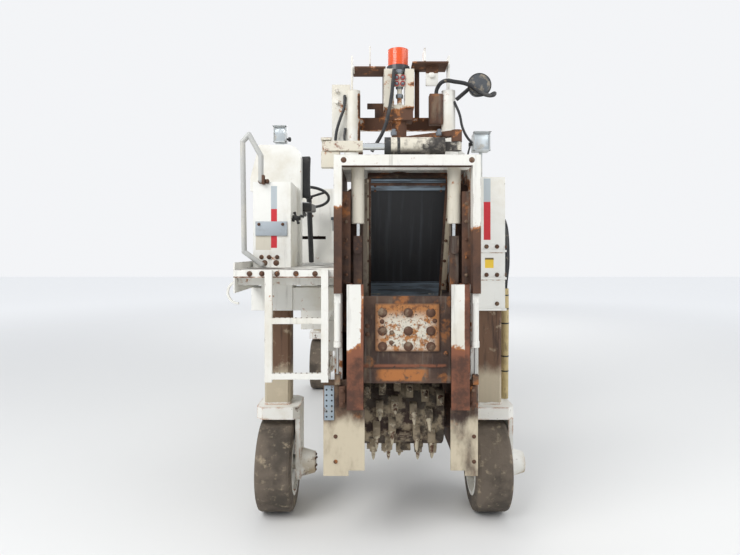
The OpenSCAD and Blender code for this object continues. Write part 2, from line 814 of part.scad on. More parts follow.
// Radiator core behind the front panel
module radiator() {
    color("black") slab([-450, 450], [hood_front_y - 110, hood_front_y - 40], [1200, hood_seam - 5]);
}

// Exhaust stack beside the engine cover
module exhaust() {
    color("dimgray") {
        bar_z([1575, 2420], 50, 630, 330);
        slab([hood_w / 2, 700], [tank_y[1], 420], [1560, 1575]);
    }
}

// Ballast block across the front end, with the towing eye
module front_weight() {
    eye_y = front_y - tow_eye_r - 24;
    color("whitesmoke") {
        slab([-500, 500], [hood_front_y - 110, hood_front_y - 40], [900, 1180]);
        difference() {
            slab([-70, 70], [hood_front_y - 40, front_y], [tow_eye_z - 20, tow_eye_z + 20]);
            bar_z([tow_eye_z - 21, tow_eye_z + 21], tow_eye_r, 0, eye_y);
        }
    }
}

// Orange beacon on its black base
module beacon() {
    color("black") bar_z([2790, 2835], 72, king[0], post_y + 60);
    color("orangered") bar_z([2835, 2940], 64, king[0], post_y + 60);
}

// Box-shaped work lights on short brackets
module work_lights() {
    color("silver") {
        slab([583, 693], [-1640, -1540], [2345, 2465]);
        slab([628, 648], [-1600, -1580], [sleeve_top, 2345]);
        slab([-762, -672], [-1390, -1310], [2450, 2560]);
        slab([-727, -707], [-1360, -1340], [2430, 2450]);
    }
}

// Round lamp on an arm from the right post
module round_lamp() {
    color("black") {
        strut([post_x[1] + post_r + 8, post_y, 2620], [520, post_y, 2690], 12);
        translate([570, post_y + 40, 2695]) rotate([90, 0, 0]) cylinder(h = 90, r1 = 50, r2 = 72);
    }
}

main_frame();
rear_portal();
drum_housing();
chute();
belt_panel();
plate_guides();
rear_sleeve_left();
rear_sleeve_right();
front_sleeve_left();
front_sleeve_right();
front_beam();
mast();
slew_anchor();
scraper_barrels();
side_plate_barrels();
platform();
side_ring();
ladder();
handrail();
console();
steering_wheel();
seat();
water_tank();
side_tanks();
engine_block();
hood_base();
radiator();
exhaust();
front_weight();
beacon();
work_lights();
round_lamp();
leg_rear_left();
leg_rear_right();
leg_front_left();
leg_front_right();
tyre_rear_left();
tyre_rear_right();
tyre_front_left();
tyre_front_right();
hub_rear_left();
hub_rear_right();
hub_front_left();
hub_front_right();
steer_collar_left();
steer_collar_right();
tie_rod();
drum();
drum_picks();
scraper();
scraper_rods();
side_plate_left();
side_plate_right();
swivel_bracket();
slew_rod();
slew_barrel();
hood();
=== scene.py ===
"""Looks of the cold planer milling machine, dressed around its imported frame."""
import math
import random
from itertools import product

import bmesh
import bpy
from mathutils import Matrix, Vector


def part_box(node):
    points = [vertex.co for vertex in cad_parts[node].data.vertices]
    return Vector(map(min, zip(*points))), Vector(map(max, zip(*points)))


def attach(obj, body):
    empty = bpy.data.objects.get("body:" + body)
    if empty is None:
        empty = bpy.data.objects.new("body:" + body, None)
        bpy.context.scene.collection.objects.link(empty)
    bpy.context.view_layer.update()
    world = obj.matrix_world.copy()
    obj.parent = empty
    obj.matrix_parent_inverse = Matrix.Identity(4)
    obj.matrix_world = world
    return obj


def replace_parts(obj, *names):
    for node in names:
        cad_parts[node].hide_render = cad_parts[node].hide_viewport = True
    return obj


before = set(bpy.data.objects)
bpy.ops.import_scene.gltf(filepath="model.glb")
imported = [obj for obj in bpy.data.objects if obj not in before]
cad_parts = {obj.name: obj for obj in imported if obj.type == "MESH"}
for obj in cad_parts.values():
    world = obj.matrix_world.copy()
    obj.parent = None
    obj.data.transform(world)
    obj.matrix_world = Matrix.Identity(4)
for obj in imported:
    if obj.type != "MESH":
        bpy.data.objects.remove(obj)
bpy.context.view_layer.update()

# The photograph's camera: level, a person's height above the ground, behind the machine
PHOTO_WIDTH = 740
HORIZON_PIXEL = 250
MIDDLE_PIXEL = 277.5
FOCAL_PIXELS = 556
CAMERA_AT = (-0.09, -5.25, 1.70)
SENSOR_MM = 36.0
VIEW_DEPTH = 200

# Hoses beside the right rear column, from the sleeve down to the wheel's bracket
HOSE_RADIUS = 0.011
WRAP_RADIUS = 0.025
OUTER_ROUTE = [
    (0.784, -1.470, 1.930), (0.800, -1.470, 1.926), (0.820, -1.470, 1.905), (0.833, -1.470, 1.870),
    (0.841, -1.471, 1.820), (0.846, -1.472, 1.750), (0.847, -1.475, 1.680), (0.846, -1.478, 1.610),
    (0.841, -1.479, 1.550), (0.834, -1.480, 1.495), (0.830, -1.480, 1.440),
]
INNER_ROUTE = [
    (0.784, -1.500, 1.880), (0.798, -1.500, 1.875), (0.814, -1.500, 1.856), (0.824, -1.500, 1.822),
    (0.829, -1.500, 1.770), (0.830, -1.500, 1.700), (0.829, -1.500, 1.620), (0.825, -1.500, 1.560),
    (0.816, -1.500, 1.500), (0.808, -1.500, 1.440),
]
WRAP_ROUTE = [
    (0.822, -1.490, 1.440), (0.823, -1.490, 1.320), (0.823, -1.490, 1.200), (0.822, -1.490, 1.080),
    (0.821, -1.490, 0.960), (0.820, -1.490, 0.840), (0.819, -1.490, 0.700),
]
WRAP_TIES = (1.395, 1.304, 1.206, 0.985, 0.885)

# The chute's leaning plane: Y out of it, Z up along it
CHUTE_PLACE = Matrix.Translation((0, -1.660, 1.400)) @ Matrix.Rotation(math.radians(27.2), 4, "X")

# Milling drum: axis, core, and where its helical rows of tool holders stand
DRUM_AXIS = Vector((0.115, -1.700, 0.680))
DRUM_WIDTH = 0.490
CORE_RADIUS = 0.202
SHAFT_ENDS = (-0.189, 0.419)
ROW_HOLDERS = 12
ROW_STEP = 37.5
HALF_LAG = 12
FIRST_HOLDER = 0.018
EDGE_HOLDER = 0.042
PICK_LEAN = 42
PICK_LENGTH = 0.076
PICK_TIP = Vector((-0.020, 0.2975))
PADDLE_TURNS = (110, 150, 290, 330)

# Engine cover: its open lower edge, front end, hinge axis, sheet and rounded shoulders
COVER_BOTTOM = 1.6503
COVER_FRONT = 2.115
COVER_HINGE = 2.1273
COVER_SHEET = 0.012
COVER_SHOULDER = 0.090

# Height where the columns' rusty inner tubes meet their painted brackets, and the seat's width
TUBE_FOOT = 0.70
SEAT_WIDTH = 0.320

# Studio: what the camera sees behind the machine, the light that the world gives, and its soft boxes
BACKDROP = (0.90, 0.91, 0.93, 1)
SKY_LIGHT = (0.53, 0.56, 0.61, 1)
FLOOR_SIZE = 60
FLOOR_GLOW = 0.44
GLOW_NEAR = 3.0
GLOW_FAR = 16.0
LIGHTS_AIM = Vector((0, 0, 1.1))
SOFTBOXES = (
    ("key_softbox", (-4.5, -6.5, 7.0), 5.0, 560),
    ("fill_softbox", (6.0, -4.0, 5.0), 6.0, 230),
    ("back_softbox", (1.0, 7.5, 6.5), 6.0, 280),
)

# Rear faces that bolts and plates stand on, inner faces of the rear walls, and the belt's side edges
PATCH_REAR = -2.127
SCRAPER_REAR = -2.119
SLEEVE_REAR = -1.669
BOX_REAR = -1.739
PLATFORM_REAR = -2.157
EDGE_PLATE_REAR = -2.149
WALL_LEFT, WALL_RIGHT = -0.2465, 0.4765
BELT_LEFT, BELT_RIGHT = -0.0845, 0.3495

# Water tap, filler caps and their ribs, wheel motor bolts, and the engine cover's side and latches
TAP_X, TAP_Z = -0.560, 1.905
FILLER_X, FILLER_Y = 0.630, 0.560
RIB_CIRCLE = 0.048
MOTOR_CIRCLE = 0.048
COVER_SIDE = 0.5595
LATCH_FACE = 0.566

X, Y, Z = range(3)
UP = (0, 0, 1)
BACK = (0, -1, 0)
AHEAD = (0, 1, 0)
LEFT = (-1, 0, 0)
RIGHT = (1, 0, 0)


def srgb(red, green, blue):
    """A colour as it looks on screen, 0 to 255, in the shader's own scale."""
    def linear(value):
        value /= 255
        return value / 12.92 if value <= 0.04045 else ((value + 0.055) / 1.055) ** 2.4
    return (linear(red), linear(green), linear(blue), 1.0)


WHITE_PAINT = srgb(226, 224, 216)
CREAM_PAINT = srgb(208, 201, 184)
BRIGHT_PAINT = srgb(234, 233, 227)
ROAD_DUST = srgb(176, 160, 134)
PALE_DUST = srgb(196, 184, 160)
GREY_GRIME = srgb(120, 113, 103)
OIL_GRIME = srgb(46, 42, 38)
RUST_BROWN = srgb(92, 64, 48)
RUST_DARK = srgb(58, 42, 35)
RUST_ORANGE = srgb(164, 104, 56)
RUST_RED = srgb(128, 80, 58)
STEEL_GREY = srgb(126, 132, 138)
BARE_STEEL = srgb(92, 86, 80)
TYRE_BROWN = srgb(108, 97, 85)
TYRE_DARK = srgb(74, 67, 59)
BLACK_RUBBER = srgb(24, 25, 28)
BEACON_ORANGE = srgb(226, 82, 16)
TAPE_SILVER = srgb(178, 186, 190)
TAPE_RED = srgb(196, 38, 48)
LABEL_YELLOW = srgb(236, 198, 62)
WRAP_TAN = srgb(196, 176, 128)
EDGE_PLATE_BROWN = srgb(108, 86, 68)
WORN_GREY = srgb(178, 178, 174)


class Finish:
    """A material being built up in layers, each laid over the last through a mask."""

    def __init__(self, name, colour, roughness=0.55, metallic=0.0, spread=(0, 0, 0)):
        self.material = bpy.data.materials.new(name)
        self.material.use_nodes = True
        self.tree = self.material.node_tree
        self.shader = self.tree.nodes["Principled BSDF"]
        place = self.add("ShaderNodeTexCoord").outputs["Object"]
        shifted = self.add("ShaderNodeVectorMath", operation="ADD")
        self.tree.links.new(place, shifted.inputs[0])
        shifted.inputs[1].default_value = spread
        self.place = shifted.outputs[0]
        self.true_place = place
        self.colour = colour
        self.roughness = roughness
        self.metallic = metallic
        self.height = None

    def add(self, kind, **values):
        node = self.tree.nodes.new(kind)
        for key, value in values.items():
            setattr(node, key, value)
        return node

    def feed(self, value, socket):
        if isinstance(value, bpy.types.NodeSocket):
            self.tree.links.new(value, socket)
        else:
            socket.default_value = value

    def noise(self, scale, detail=5.0, roughness=0.6, stretch=(1, 1, 1)):
        mapping = self.add("ShaderNodeMapping")
        mapping.inputs["Scale"].default_value = stretch
        self.feed(self.place, mapping.inputs["Vector"])
        node = self.add("ShaderNodeTexNoise")
        node.inputs["Scale"].default_value = scale
        node.inputs["Detail"].default_value = detail
        node.inputs["Roughness"].default_value = roughness
        self.feed(mapping.outputs[0], node.inputs["Vector"])
        return node.outputs["Fac"]

    def cells(self, scale):
        node = self.add("ShaderNodeTexVoronoi", feature="F1")
        node.inputs["Scale"].default_value = scale
        self.feed(self.place, node.inputs["Vector"])
        return node.outputs["Distance"]

    def bands(self, scale, direction="X"):
        node = self.add("ShaderNodeTexWave", wave_type="BANDS", bands_direction=direction)
        node.inputs["Scale"].default_value = scale
        node.inputs["Distortion"].default_value = 0.0
        self.feed(self.place, node.inputs["Vector"])
        return node.outputs["Fac"]

    def step(self, value, low, high):
        node = self.add("ShaderNodeMapRange", interpolation_type="SMOOTHSTEP")
        node.inputs["From Min"].default_value = low
        node.inputs["From Max"].default_value = high
        self.feed(value, node.inputs["Value"])
        return node.outputs["Result"]

    def math(self, operation, first, second=0.5):
        node = self.add("ShaderNodeMath", operation=operation)
        self.feed(first, node.inputs[0])
        self.feed(second, node.inputs[1])
        return node.outputs[0]

    def both(self, first, *others):
        for other in others:
            first = self.math("MULTIPLY", first, other)
        return first

    def either(self, first, *others):
        for other in others:
            first = self.math("MAXIMUM", first, other)
        return first

    def along(self, axis):
        node = self.add("ShaderNodeSeparateXYZ")
        self.feed(self.true_place, node.inputs[0])
        return node.outputs[axis]

    def beyond(self, axis, low, high):
        """A mask that goes from 0 to 1 between two places along an axis, either way round."""
        return self.step(self.along(axis), low, high)

    def between(self, axis, low, high, soft=0.02):
        """A mask that is 1 between two heights (or places along another axis)."""
        above = self.beyond(axis, low - soft, low + soft)
        return self.both(above, self.beyond(axis, high + soft, high - soft))

    def facing(self, axis, low, high):
        """A mask of the faces that point one way, such as up, by the surface's own normal."""
        geometry = self.add("ShaderNodeNewGeometry")
        node = self.add("ShaderNodeSeparateXYZ")
        self.feed(geometry.outputs["Normal"], node.inputs[0])
        return self.step(node.outputs[axis], low, high)

    def rear(self):
        """A mask of the faces that look backwards."""
        return self.facing(Y, -0.5, -0.7)

    def rear_patch(self, x, z, soft=0.0008):
        """A mask over an upright rectangle of the faces that look backwards."""
        return self.both(self.between(X, *x, soft), self.between(Z, *z, soft), self.rear())

    def worn_edge(self, width=0.012, low=0.86, high=0.97):
        """A mask along edges, from how far a bevelled normal leaves the true one."""
        bevel = self.add("ShaderNodeBevel", samples=4)
        bevel.inputs["Radius"].default_value = width
        geometry = self.add("ShaderNodeNewGeometry")
        dot = self.add("ShaderNodeVectorMath", operation="DOT_PRODUCT")
        self.feed(bevel.outputs[0], dot.inputs[0])
        self.feed(geometry.outputs["Normal"], dot.inputs[1])
        return self.step(dot.outputs["Value"], high, low)

    def mix(self, mask, first, second):
        is_colour = isinstance(second, tuple) or (
            isinstance(second, bpy.types.NodeSocket) and second.type == "RGBA")
        node = self.add("ShaderNodeMix", data_type="RGBA" if is_colour else "FLOAT")
        a, b, out = (6, 7, 2) if is_colour else (2, 3, 0)
        self.feed(mask, node.inputs[0])
        self.feed(first, node.inputs[a])
        self.feed(second, node.inputs[b])
        return node.outputs[out]

    def layer(self, mask, colour, roughness=None, metallic=None):
        self.colour = self.mix(mask, self.colour, colour)
        if roughness is not None:
            self.roughness = self.mix(mask, self.roughness, roughness)
        if metallic is not None:
            self.metallic = self.mix(mask, self.metallic, metallic)
        return self

    def speckle(self, noise, low, high, share, colour, roughness=None, metallic=None):
        """Ragged patches where noise goes from low to high, times a share or a mask."""
        mask = self.step(self.noise(*noise), low, high)
        return self.layer(mask if share == 1 else self.both(mask, share), colour, roughness, metallic)

    def rust_over(self, mask, scale=8.0, deep=RUST_BROWN, bloom=RUST_ORANGE):
        """Ragged rust where a mask allows it: a bloom at its rim, brown and then dark inside."""
        wander = self.math("MULTIPLY", self.math("SUBTRACT", self.noise(scale, 8, 0.7)), 1.3)
        ragged = self.math("ADD", mask, wander)
        self.layer(self.step(ragged, 0.50, 0.58), bloom, 0.85)
        self.layer(self.step(ragged, 0.58, 0.66), deep, 0.9)
        self.layer(self.both(self.step(ragged, 0.80, 1.15), 0.8), RUST_DARK, 0.85)
        self.raise_by(self.step(ragged, 0.50, 0.62), -0.2)
        return self

    def raise_by(self, value, amount):
        part = self.math("MULTIPLY", value, amount)
        self.height = part if self.height is None else self.math("ADD", self.height, part)
        return self

    def done(self, bump=0.4, soft_edge=0.003, **inputs):
        for name, value in (("Base Color", self.colour), ("Roughness", self.roughness),
                            ("Metallic", self.metallic)):
            self.feed(value, self.shader.inputs[name])
        for name, value in inputs.items():
            self.shader.inputs[name.replace("_", " ")].default_value = value
        if self.height is not None:
            node = self.add("ShaderNodeBump")
            node.inputs["Strength"].default_value = bump
            node.inputs["Distance"].default_value = 0.01
            self.feed(self.height, node.inputs["Height"])
            rounded = self.add("ShaderNodeBevel", samples=4)
            rounded.inputs["Radius"].default_value = soft_edge
            self.feed(rounded.outputs[0], node.inputs["Normal"])
            self.feed(node.outputs[0], self.shader.inputs["Normal"])
        return self.material


# Shapes


def aim(at, toward):
    """A placement that turns +Z to a direction and moves the origin to a point."""
    return Matrix.Translation(at) @ Vector(toward).to_track_quat("Z", "Y").to_matrix().to_4x4()


def join(shape, part, place):
    """Adds a finished part to a shape, moved to its place."""
    bmesh.ops.transform(part, matrix=place, verts=part.verts[:])
    mesh = bpy.data.meshes.new("part_form")
    part.to_mesh(mesh)
    part.free()
    shape.from_mesh(mesh)
    bpy.data.meshes.remove(mesh)


def block(shape, low, high, edge=0.002, segments=2, place=Matrix()):
    """A block between two corners, with rounded edges, added to a shape."""
    size = [b - a for a, b in zip(low, high)]
    middle = [(a + b) / 2 for a, b in zip(low, high)]
    matrix = place @ Matrix.Translation(middle) @ Matrix.Diagonal((*size, 1))
    made = bmesh.ops.create_cube(shape, size=1.0, matrix=matrix)
    edges = list({e for v in made["verts"] for e in v.link_edges})
    bmesh.ops.bevel(shape, geom=edges, offset=edge, segments=segments, profile=0.5, affect="EDGES",
                    material=-1)


def pressed(shape, outline, low, high, edge=0.002, place=Matrix()):
    """A plate with an outline of (across, up) points, from one depth to another, added to a shape."""
    part = bmesh.new()
    face = part.faces.new([part.verts.new((across, low, up)) for across, up in outline])
    made = bmesh.ops.extrude_face_region(part, geom=[face])
    moved = [v for v in made["geom"] if isinstance(v, bmesh.types.BMVert)]
    bmesh.ops.translate(part, verts=moved, vec=(0, high - low, 0))
    bmesh.ops.recalc_face_normals(part, faces=part.faces[:])
    sharp = [e for e in part.edges if e.calc_face_angle(0) > 0.5]
    bmesh.ops.bevel(part, geom=sharp, offset=edge, segments=2, profile=0.5, affect="EDGES", material=-1)
    join(shape, part, place)


def turned(shape, profile, sides, at, toward, capped=True):
    """A turned form added to a shape, from its (distance along the axis, radius) steps and flat ends."""
    if capped:
        (start, first), (end, last) = profile[0], profile[-1]
        profile = [(start, 0)] * (first > 0) + profile + [(end, 0)] * (last > 0)
    part = bmesh.new()
    rings = [part.verts.new((radius, 0, along)) for along, radius in profile]
    for pair in zip(rings, rings[1:]):
        part.edges.new(pair)
    bmesh.ops.spin(part, geom=part.verts[:] + part.edges[:], cent=(0, 0, 0), axis=UP, dvec=(0, 0, 0),
                   angle=2 * math.pi, steps=sides, use_merge=True, use_normal_flip=False, use_duplicate=False)
    bmesh.ops.remove_doubles(part, verts=part.verts[:], dist=1e-6)
    bmesh.ops.recalc_face_normals(part, faces=part.faces[:])
    join(shape, part, aim(at, toward))


def rod(radius, length):
    """Profile of a plain round rod."""
    return [(0, radius), (length, radius)]


def domed_head(shape, radius, height, at, toward):
    """A round bolt head on its washer."""
    sides = 14 if radius < 0.013 else 16 if radius < 0.017 else 18
    turned(shape, [(0, radius * 1.35), (height * 0.15, radius * 1.35), (height * 0.2, radius),
                   (height * 0.6, radius * 0.95), (height * 0.88, radius * 0.6), (height, 0)],
           sides, at, toward)


def hex_head(shape, radius, height, at, toward):
    """A hexagon head with its washer and the end of its bolt."""
    turned(shape, rod(radius * 1.3, height * 0.18), 16, at, toward)
    shank = [(height * 0.18, radius), (height * 0.72, radius), (height * 0.8, radius * 0.86)]
    turned(shape, shank, 6, at, toward)
    turned(shape, [(height * 0.8, radius * 0.5), (height, radius * 0.42)], 10, at, toward)


def piece(name, shape, material, body="frame", smooth_angle=40):
    """Makes a finished shape a piece of its own that rides on a body."""
    mesh = bpy.data.meshes.new(name)
    shape.to_mesh(mesh)
    shape.free()
    mesh.shade_smooth()
    mesh.set_sharp_from_angle(angle=math.radians(smooth_angle))
    made = bpy.data.objects.new(name, mesh)
    bpy.context.collection.objects.link(made)
    made.data.materials.append(material)
    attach(made, body)
    return made


def line_piece(name, points, radius, material, body, cyclic=False):
    """A smooth round line through points: a hose, cable or piping."""
    data = bpy.data.curves.new(name, "CURVE")
    data.dimensions = "3D"
    data.bevel_depth = radius
    data.bevel_resolution = 3
    data.resolution_u = 6
    data.use_fill_caps = not cyclic
    spline = data.splines.new("BEZIER")
    spline.bezier_points.add(len(points) - 1)
    spline.use_cyclic_u = cyclic
    for knot, place in zip(spline.bezier_points, points):
        knot.co = place
        knot.handle_left_type = "AUTO"
        knot.handle_right_type = "AUTO"
    made = bpy.data.objects.new(name, data)
    bpy.context.collection.objects.link(made)
    data.materials.append(material)
    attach(made, body)
    return made


# Camera, hoses and studio


def aim_camera():
    data = bpy.data.cameras.new("photo_camera")
    data.sensor_width = SENSOR_MM
    data.lens = SENSOR_MM * FOCAL_PIXELS / PHOTO_WIDTH
    data.shift_y = (HORIZON_PIXEL - MIDDLE_PIXEL) / PHOTO_WIDTH
    data.clip_end = VIEW_DEPTH
    camera = bpy.data.objects.new("photo_camera", data)
    camera.location = CAMERA_AT
    camera.rotation_euler = (math.radians(90), 0, 0)
    bpy.context.collection.objects.link(camera)
    bpy.context.scene.camera = camera


def wrap_finish():
    coat = patched("hose_wrap_cloth", WRAP_TAN, 0.92, 0.0, (
        ((9, 6), 0.48, 0.72, 1, srgb(166, 146, 104)),
        ((24, 5, 0.6, (1, 1, 0.4)), 0.56, 0.72, 0.7, srgb(110, 96, 72)),
    ))
    weave = coat.both(coat.bands(170, "Z"), coat.bands(170, "X"))
    return coat.raise_by(weave, 0.12).raise_by(coat.noise(18, 5), 0.8).done(0.6, Sheen_Weight=0.15)


def tie_ring(shape, at, toward, radius, width=0.008, thick=0.0025):
    """A flat band round a hose."""
    half, outer = width / 2, radius + thick
    turned(shape, [(-half, radius), (-half, outer), (half, outer), (half, radius), (-half, radius)],
           18, at, toward, capped=False)


def on_route(route, z):
    """The point of a falling route at a height, and the way it runs there."""
    for first, second in zip(route, route[1:]):
        if second[2] <= z <= first[2]:
            share = (first[2] - z) / (first[2] - second[2])
            return Vector(first).lerp(Vector(second), share), Vector(second) - Vector(first)
    raise ValueError("height is off the route")


def hoses():
    """Two hydraulic hoses out of the right sleeve, gathered in a cloth wrap down to the bracket."""
    body = "column_rear_right"
    ends = bmesh.new()
    for at in (OUTER_ROUTE[0], INNER_ROUTE[0]):
        turned(ends, [(0, 0.016), (0.010, 0.016), (0.012, 0.0135), (0.030, 0.0135), (0.032, 0.0112),
                      (0.0325, 0)], 12, (at[0] - 0.004, at[1], at[2]), RIGHT)
    piece("hose_fittings", ends, STEEL, body)
    for name, route in (("outer", OUTER_ROUTE), ("inner", INNER_ROUTE)):
        line_piece("hydraulic_hose_" + name, route, HOSE_RADIUS, RUBBER, body)

    ties = bmesh.new()
    for z in WRAP_TIES:
        at, toward = on_route(WRAP_ROUTE, z)
        tie_ring(ties, at, toward, WRAP_RADIUS - 0.0015)
    piece("wrap_ties", ties, BLACK, body)
    line_piece("hose_wrap_sleeve", WRAP_ROUTE, WRAP_RADIUS, wrap_finish(), body)


def light_and_floor():
    scene = bpy.context.scene
    scene.view_settings.view_transform = "Standard"
    world = bpy.data.worlds.new("studio")
    world.use_nodes = True
    scene.world = world
    tree = world.node_tree
    background = tree.nodes["Background"]
    rays = tree.nodes.new("ShaderNodeLightPath")
    seen = rays.outputs["Is Camera Ray"]
    for ray in ("Is Glossy Ray", "Is Transmission Ray"):
        either = tree.nodes.new("ShaderNodeMath")
        either.operation = "MAXIMUM"
        tree.links.new(seen, either.inputs[0])
        tree.links.new(rays.outputs[ray], either.inputs[1])
        seen = either.outputs[0]
    shade = tree.nodes.new("ShaderNodeMix")
    shade.data_type = "RGBA"
    shade.inputs[6].default_value = SKY_LIGHT
    shade.inputs[7].default_value = BACKDROP
    tree.links.new(seen, shade.inputs[0])
    tree.links.new(shade.outputs[2], background.inputs["Color"])
    background.inputs["Strength"].default_value = 1.0

    bpy.ops.mesh.primitive_plane_add(size=FLOOR_SIZE)
    floor = bpy.context.object
    floor.name = "studio_floor"
    concrete = Finish("studio_floor_pale", srgb(226, 225, 222), 0.9)
    concrete.raise_by(concrete.noise(30, 4), 0.05)
    concrete.shader.inputs["Specular IOR Level"].default_value = 0.2
    far = concrete.add("ShaderNodeVectorMath", operation="LENGTH")
    concrete.feed(concrete.true_place, far.inputs[0])
    glow = concrete.both(concrete.step(far.outputs["Value"], GLOW_NEAR, GLOW_FAR), FLOOR_GLOW)
    concrete.feed(glow, concrete.shader.inputs["Emission Strength"])
    concrete.shader.inputs["Emission Color"].default_value = BACKDROP
    floor.data.materials.append(concrete.done(0.2))

    for name, place, size, watts in SOFTBOXES:
        data = bpy.data.lights.new(name, "AREA")
        data.size = size
        data.energy = watts
        lamp = bpy.data.objects.new(name, data)
        lamp.location = place
        lamp.rotation_euler = (LIGHTS_AIM - Vector(place)).to_track_quat("-Z", "Y").to_euler()
        bpy.context.collection.objects.link(lamp)


# Finishes


def patched(name, colour, roughness, metallic=0.0, patches=(), grain=(), spread=(0, 0, 0)):
    """A finish of one colour under ragged patches, its surface raised by rows of (noise, amount)."""
    coat = Finish(name, colour, roughness, metallic, spread)
    for patch in patches:
        coat.speckle(*patch)
    for noise, amount in grain:
        coat.raise_by(coat.noise(*noise), amount)
    return coat


def machine_paint(name, rust=0.5, grime=0.5, dust=0.3, spread=(0, 0, 0), base=WHITE_PAINT, marks=None,
                  stains=None):
    """Old white paint: yellowed patches, marks, grime in runs, chipped edges and rust over all."""
    coat = Finish(name, base, 0.42, 0.0, spread)
    coat.speckle((2.2, 6), 0.48, 0.72, 0.8, CREAM_PAINT, 0.55)
    if marks:
        marks(coat)
    coat.speckle((3.0, 6, 0.65, (6, 6, 0.55)), 0.60 - 0.10 * grime, 0.80, 0.30 + 0.4 * grime, GREY_GRIME, 0.7)
    coat.speckle((26, 4), 0.55, 0.75, 0.5 * dust, ROAD_DUST, 0.85)
    spots = coat.noise(9.0, 8, 0.7)
    chipped = coat.step(spots, 0.73 - 0.14 * rust, 0.76 - 0.12 * rust)
    edge = coat.both(coat.worn_edge(), coat.step(coat.noise(14, 5), 0.64 - 0.30 * rust, 0.70))
    bare = coat.either(chipped, edge)
    coat.speckle((5.0, 7, 0.7, (7, 7, 0.5)), 0.70 - 0.10 * rust, 0.78, 0.5 * rust, RUST_ORANGE, 0.7)
    coat.layer(coat.step(spots, 0.67 - 0.14 * rust, 0.72 - 0.12 * rust), RUST_ORANGE, 0.8)
    coat.layer(bare, RUST_BROWN, 0.9)
    if stains:
        stains(coat)
    return coat.raise_by(coat.noise(60, 4), 0.08).raise_by(bare, -0.25).done(0.4)


def rusty_plate(name, dust=0.3, spread=(0, 0, 0), base=RUST_BROWN, marks=None):
    """Brown rusted plate with orange blooms and dusty flats."""
    coat = patched(name, base, 0.88, 0.0, (
        ((4.0, 8, 0.7), 0.42, 0.62, 1, RUST_DARK, 0.82),
        ((7.0, 8, 0.65), 0.56, 0.68, 0.8, RUST_ORANGE, 0.92),
        ((9.0, 6, 0.6, (4, 4, 0.3)), 0.52, 0.75, 0.5, GREY_GRIME, 0.8),
        ((12.0, 5, 0.6, (1, 1, 0.3)), 0.55, 0.75, dust, ROAD_DUST, 0.95),
    ), spread=spread)
    if marks:
        marks(coat)
    return coat.raise_by(coat.noise(40, 6), 0.3).raise_by(coat.noise(9, 6), 0.4).done(0.5)


def plain_steel(name, colour, roughness, metallic):
    """Bare metal with oily dirt and a little rust."""
    return patched(name, colour, roughness, metallic, (
        ((8, 6), 0.5, 0.75, 0.4, OIL_GRIME, 0.7, 0.2),
        ((15, 7, 0.7), 0.62, 0.7, 0.7, RUST_BROWN, 0.85, 0.0),
    ), [((70, 4), 0.1)]).done(0.3)


def portal_stains(coat):
    worn_header = coat.both(coat.between(Z, 2.163, 2.25, 0.004), coat.between(X, -0.02, 0.30, 0.12), 0.42)
    left_post = coat.both(coat.beyond(X, 0.05, -0.05), coat.beyond(Z, 2.05, 1.86))
    right_post = coat.both(coat.beyond(X, -0.05, 0.05), coat.beyond(Z, 1.93, 1.72))
    under = coat.both(coat.facing(Z, -0.5, -0.8), 0.9)
    coat.rust_over(coat.either(worn_header, left_post, right_post, under), 7)


def chassis_stains(coat):
    inner_left = coat.both(coat.facing(X, 0.5, 0.8), coat.between(X, -0.26, -0.19, 0.01))
    inner_right = coat.both(coat.facing(X, -0.5, -0.8), coat.between(X, 0.44, 0.48, 0.01))
    inner = coat.both(coat.either(inner_left, inner_right), coat.beyond(Y, -1.0, -1.2), 0.75)
    coat.rust_over(coat.either(inner, coat.both(coat.beyond(Z, 1.45, 1.0), 0.45)), 6)


def rear_marks(*rows):
    """Bands of plain colour on faces that look backwards: their span across and up, colour and roughness."""
    def marks(coat):
        for across, up, colour, roughness in rows:
            coat.layer(coat.rear_patch(across, up), colour, roughness)
    return marks


def right_sleeve_stains(coat):
    seams = coat.either(*[coat.between(Z, z, z + 0.008, 0.006) for z in (1.302, 1.502, 1.678)])
    near_post = coat.both(coat.between(X, 0.44, 0.570, 0.01), coat.between(Z, 1.2, 1.62, 0.1), 0.4)
    drips = coat.both(coat.between(Z, 1.30, 1.36, 0.02), 0.36)
    coat.rust_over(coat.either(coat.both(seams, 0.62), near_post, drips), 12)


def left_box_stains(coat):
    around_bolts = coat.both(coat.rear_patch((-0.80, -0.62), (1.60, 1.672), 0.02), 0.40)
    scar = coat.both(coat.rear_patch((-0.775, -0.735), (1.88, 2.01), 0.012), 0.36)
    below = coat.both(coat.beyond(Z, 1.60, 1.45), 0.36)
    coat.rust_over(coat.either(around_bolts, scar, below), 12)


def guide_stains(coat):
    left_edge = coat.both(coat.between(X, -0.142, -0.12, 0.006), 0.75)
    right_strip = coat.both(coat.beyond(X, 0.424, 0.434), 0.95)
    webs = coat.both(coat.beyond(Y, -2.185, -2.18), 0.8)
    coat.rust_over(coat.either(coat.beyond(Z, 1.30, 1.05), left_edge, right_strip, webs), 8, deep=RUST_RED)


def mast_stains(coat):
    cross = coat.both(coat.beyond(Y, -1.800, -1.788), coat.beyond(Z, 2.43, 2.46), 0.70)
    flat_tops = coat.both(coat.beyond(Z, 2.77, 2.78), coat.beyond(Z, 2.84, 2.836),
                          coat.between(X, -0.186, 0.384, 0.004), 0.72)
    post_runs = coat.both(coat.between(X, -0.175, -0.12, 0.02), coat.between(Z, 2.2, 2.66, 0.05),
                          coat.facing(X, 0.2, 0.7), 0.68)
    right_edge = coat.both(coat.between(X, 0.409, 0.42, 0.01), 0.3)
    coat.rust_over(coat.either(cross, flat_tops, post_runs, right_edge), 9)


def swivel_stains(coat):
    coat.rust_over(coat.either(coat.both(coat.beyond(Z, 2.62, 2.52), 0.7), 0.30), 8)


